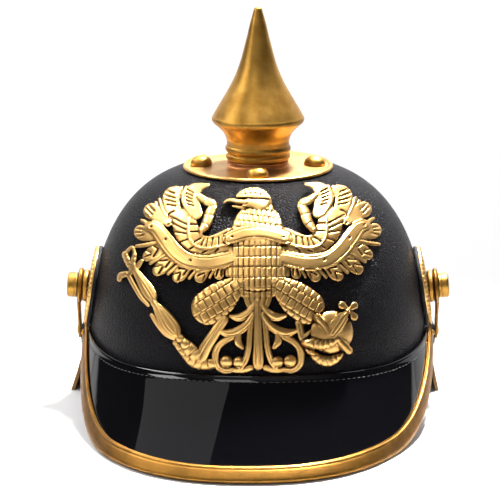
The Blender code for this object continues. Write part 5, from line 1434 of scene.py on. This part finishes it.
def strap():
    """A flat band with rounded edges, carried round the back of the bowl from lug to lug."""
    start = 0.5 * math.pi - STRAP_OVERLAP / SHELL_HALF_LENGTH
    angle = np.linspace(start, 2.0 * math.pi - start, STRAP_STATIONS)[:, None]
    half = 0.5 * STRAP_THICKNESS
    turn = np.linspace(0.0, math.pi, 5)
    out = half + half * np.cos(turn)
    up = 0.5 * STRAP_WIDTH - half * (1.0 - np.sin(turn))
    out, up = np.concatenate([out, out[::-1]]), np.concatenate([up, -up[::-1]])
    width = SHELL_HALF_WIDTH + STRAP_OFFSET + out + STRAP_END_REACH * np.abs(np.sin(angle)) ** 12
    length = SHELL_HALF_LENGTH + STRAP_OFFSET + out
    height = STRAP_Z + STRAP_REAR_RISE * np.clip(-np.cos(angle), 0.0, 1.0) + up
    return skin(np.stack([width * np.sin(angle), -length * np.cos(angle), height], axis=-1))


piece("strap_band", strap(), STRAP_HIDE, ["chin_strap"])

# %% [markdown]
# ## Camera, floor and light
#
# The photograph was taken from about 1.2 m, a little above the helmet and almost straight in front.
# The white table and backdrop run together, the room in front and above is dark, and that is what
# the patent leather mirrors: black in the middle and white only at its sides.

# %% Camera
scene = bpy.context.scene
CAMERA_DISTANCE = 1.200
CAMERA_HEIGHT = 0.384
CAMERA_PITCH = math.radians(13.98)
CAMERA_YAW = math.radians(0.30)
FOCAL_PIXELS = 2180.0
FRAME_PIXELS = 500.0
AXIS_PIXEL = 258.0

camera = bpy.data.objects.new("camera", bpy.data.cameras.new("camera"))
scene.collection.objects.link(camera)
scene.camera = camera
camera.location = (CAMERA_DISTANCE * math.sin(CAMERA_YAW), AXIS_Y - CAMERA_DISTANCE * math.cos(CAMERA_YAW),
                   CAMERA_HEIGHT)
camera.rotation_euler = (0.5 * math.pi - CAMERA_PITCH, 0.0, CAMERA_YAW)
camera.data.lens = camera.data.sensor_width * FOCAL_PIXELS / FRAME_PIXELS
camera.data.shift_x = -(AXIS_PIXEL - 0.5 * FRAME_PIXELS) / FRAME_PIXELS
print("lens", round(camera.data.lens, 2), "mm")

# %% Floor
FLOOR_RADIUS = 4.0
FLOOR_SIDES = 96


def laminate():
    """Matt laminate, its tone a little cloudy."""
    material, shader, tree, place = new_finish("matt pale laminate", "#c3c2c2", 0.6)
    cloud = add_node(tree, "ShaderNodeTexNoise", {"Vector": place, "Scale": per_mm(90.0),
                                                  "Detail": 2.0})["Fac"]
    tint = add_node(tree, "ShaderNodeMix", {"Factor": cloud, "A": linear("#c5c4c4"),
                                            "B": linear("#c1c0c0")}, data_type="RGBA")[2]
    fill(shader, {"Base Color": tint})
    return material


def floor():
    """A round, flat table top, as one ring of faces about its middle."""
    angle = full_turn(FLOOR_SIDES)
    rim = FLOOR_RADIUS * np.stack([np.cos(angle), np.sin(angle), 0.0 * angle], axis=-1)
    faces = [[i, (i + 1) % FLOOR_SIDES, FLOOR_SIDES] for i in range(FLOOR_SIDES)]
    mesh = bpy.data.meshes.new("table_top")
    mesh.from_pydata([*rim.tolist(), (0.0, 0.0, 0.0)], [], faces)
    mesh.materials.append(laminate())
    top = bpy.data.objects.new("table_top", mesh)
    scene.collection.objects.link(top)
    print("table top:", len(faces), "faces")


floor()

# %% Surroundings


def surroundings():
    """White behind the helmet, dim in front and dark overhead; the camera itself sees plain white."""
    world = bpy.data.worlds.new("studio")
    scene.world = world
    world.use_nodes = True
    tree = world.node_tree
    look = add_node(tree, "ShaderNodeTexCoord", {})["Generated"]
    axes = add_node(tree, "ShaderNodeSeparateXYZ", {0: look})
    skewed = add_node(tree, "ShaderNodeMath", {0: axes["X"], 1: 0.05, 2: axes["Y"]},
                      operation="MULTIPLY_ADD")[0]
    behind = add_node(tree, "ShaderNodeMapRange", {"Value": skewed, "From Min": 0.57, "From Max": 0.60,
                                                   "To Min": 0.03, "To Max": 1.05})[0]
    ahead = add_node(tree, "ShaderNodeMapRange", {"Value": axes["Y"], "From Min": -0.35,
                                                  "From Max": -0.95, "To Min": 0.0, "To Max": 0.30})[0]
    both = add_node(tree, "ShaderNodeMath", {0: behind, 1: ahead}, operation="ADD")[0]
    ray = add_node(tree, "ShaderNodeLightPath", {})
    lit = add_node(tree, "ShaderNodeMix", {"Factor": ray["Is Glossy Ray"], "A": 0.85, "B": both})[0]
    strength = add_node(tree, "ShaderNodeMix", {"Factor": ray["Is Camera Ray"], "A": lit, "B": 1.0})[0]
    fill(tree.nodes["Background"], {"Color": linear("#fdfcfd"), "Strength": strength})


surroundings()
print("surroundings:", scene.world.name)

# %% Lamps


def lamp(name, place, size, power, aim=(0.0, 0.0, 0.10), mirrored=True):
    """A square softbox aimed at a point; one that isn't mirrored lights without a reflection."""
    data = bpy.data.lights.new(name, "AREA")
    data.energy, data.size = power, size
    box = bpy.data.objects.new(name, data)
    box.location = place
    box.rotation_euler = (Vector(aim) - Vector(place)).to_track_quat("-Z", "Y").to_euler()
    box.visible_glossy = mirrored
    scene.collection.objects.link(box)
    return box


lamp("backdrop", (0.0, 2.3, 1.5), 2.2, 44.0, aim=(0.0, 2.3, 0.0), mirrored=False)
lamp("key", (-0.42, -1.02, 1.42), 0.75, 4.6)
lamp("right back", (0.72, 0.46, 1.25), 0.50, 2.4)
lamp("left back", (-0.80, 0.50, 1.12), 0.45, 13.0)
spot = lamp("back overhead", (0.26, 0.48, 1.33), 0.24, 3.4, aim=(0.03, -0.05, 0.17))
spot.data.spread = math.radians(24.0)
lamp("left wall", (-1.15, -0.30, 0.80), 0.5, 5.0)

# A dim, long panel hung level over the left: its mirror image is the band on the front peak
panel = lamp("panel", (-0.855, 0.135, 1.17), 0.48, 1.2)
panel.data.shape, panel.data.size, panel.data.size_y = "RECTANGLE", 1.45, 0.48
panel.rotation_euler = (0.0, 0.0, math.radians(-31.0))
scene.view_settings.view_transform = "Standard"
print("lamps:", len(bpy.data.lights))
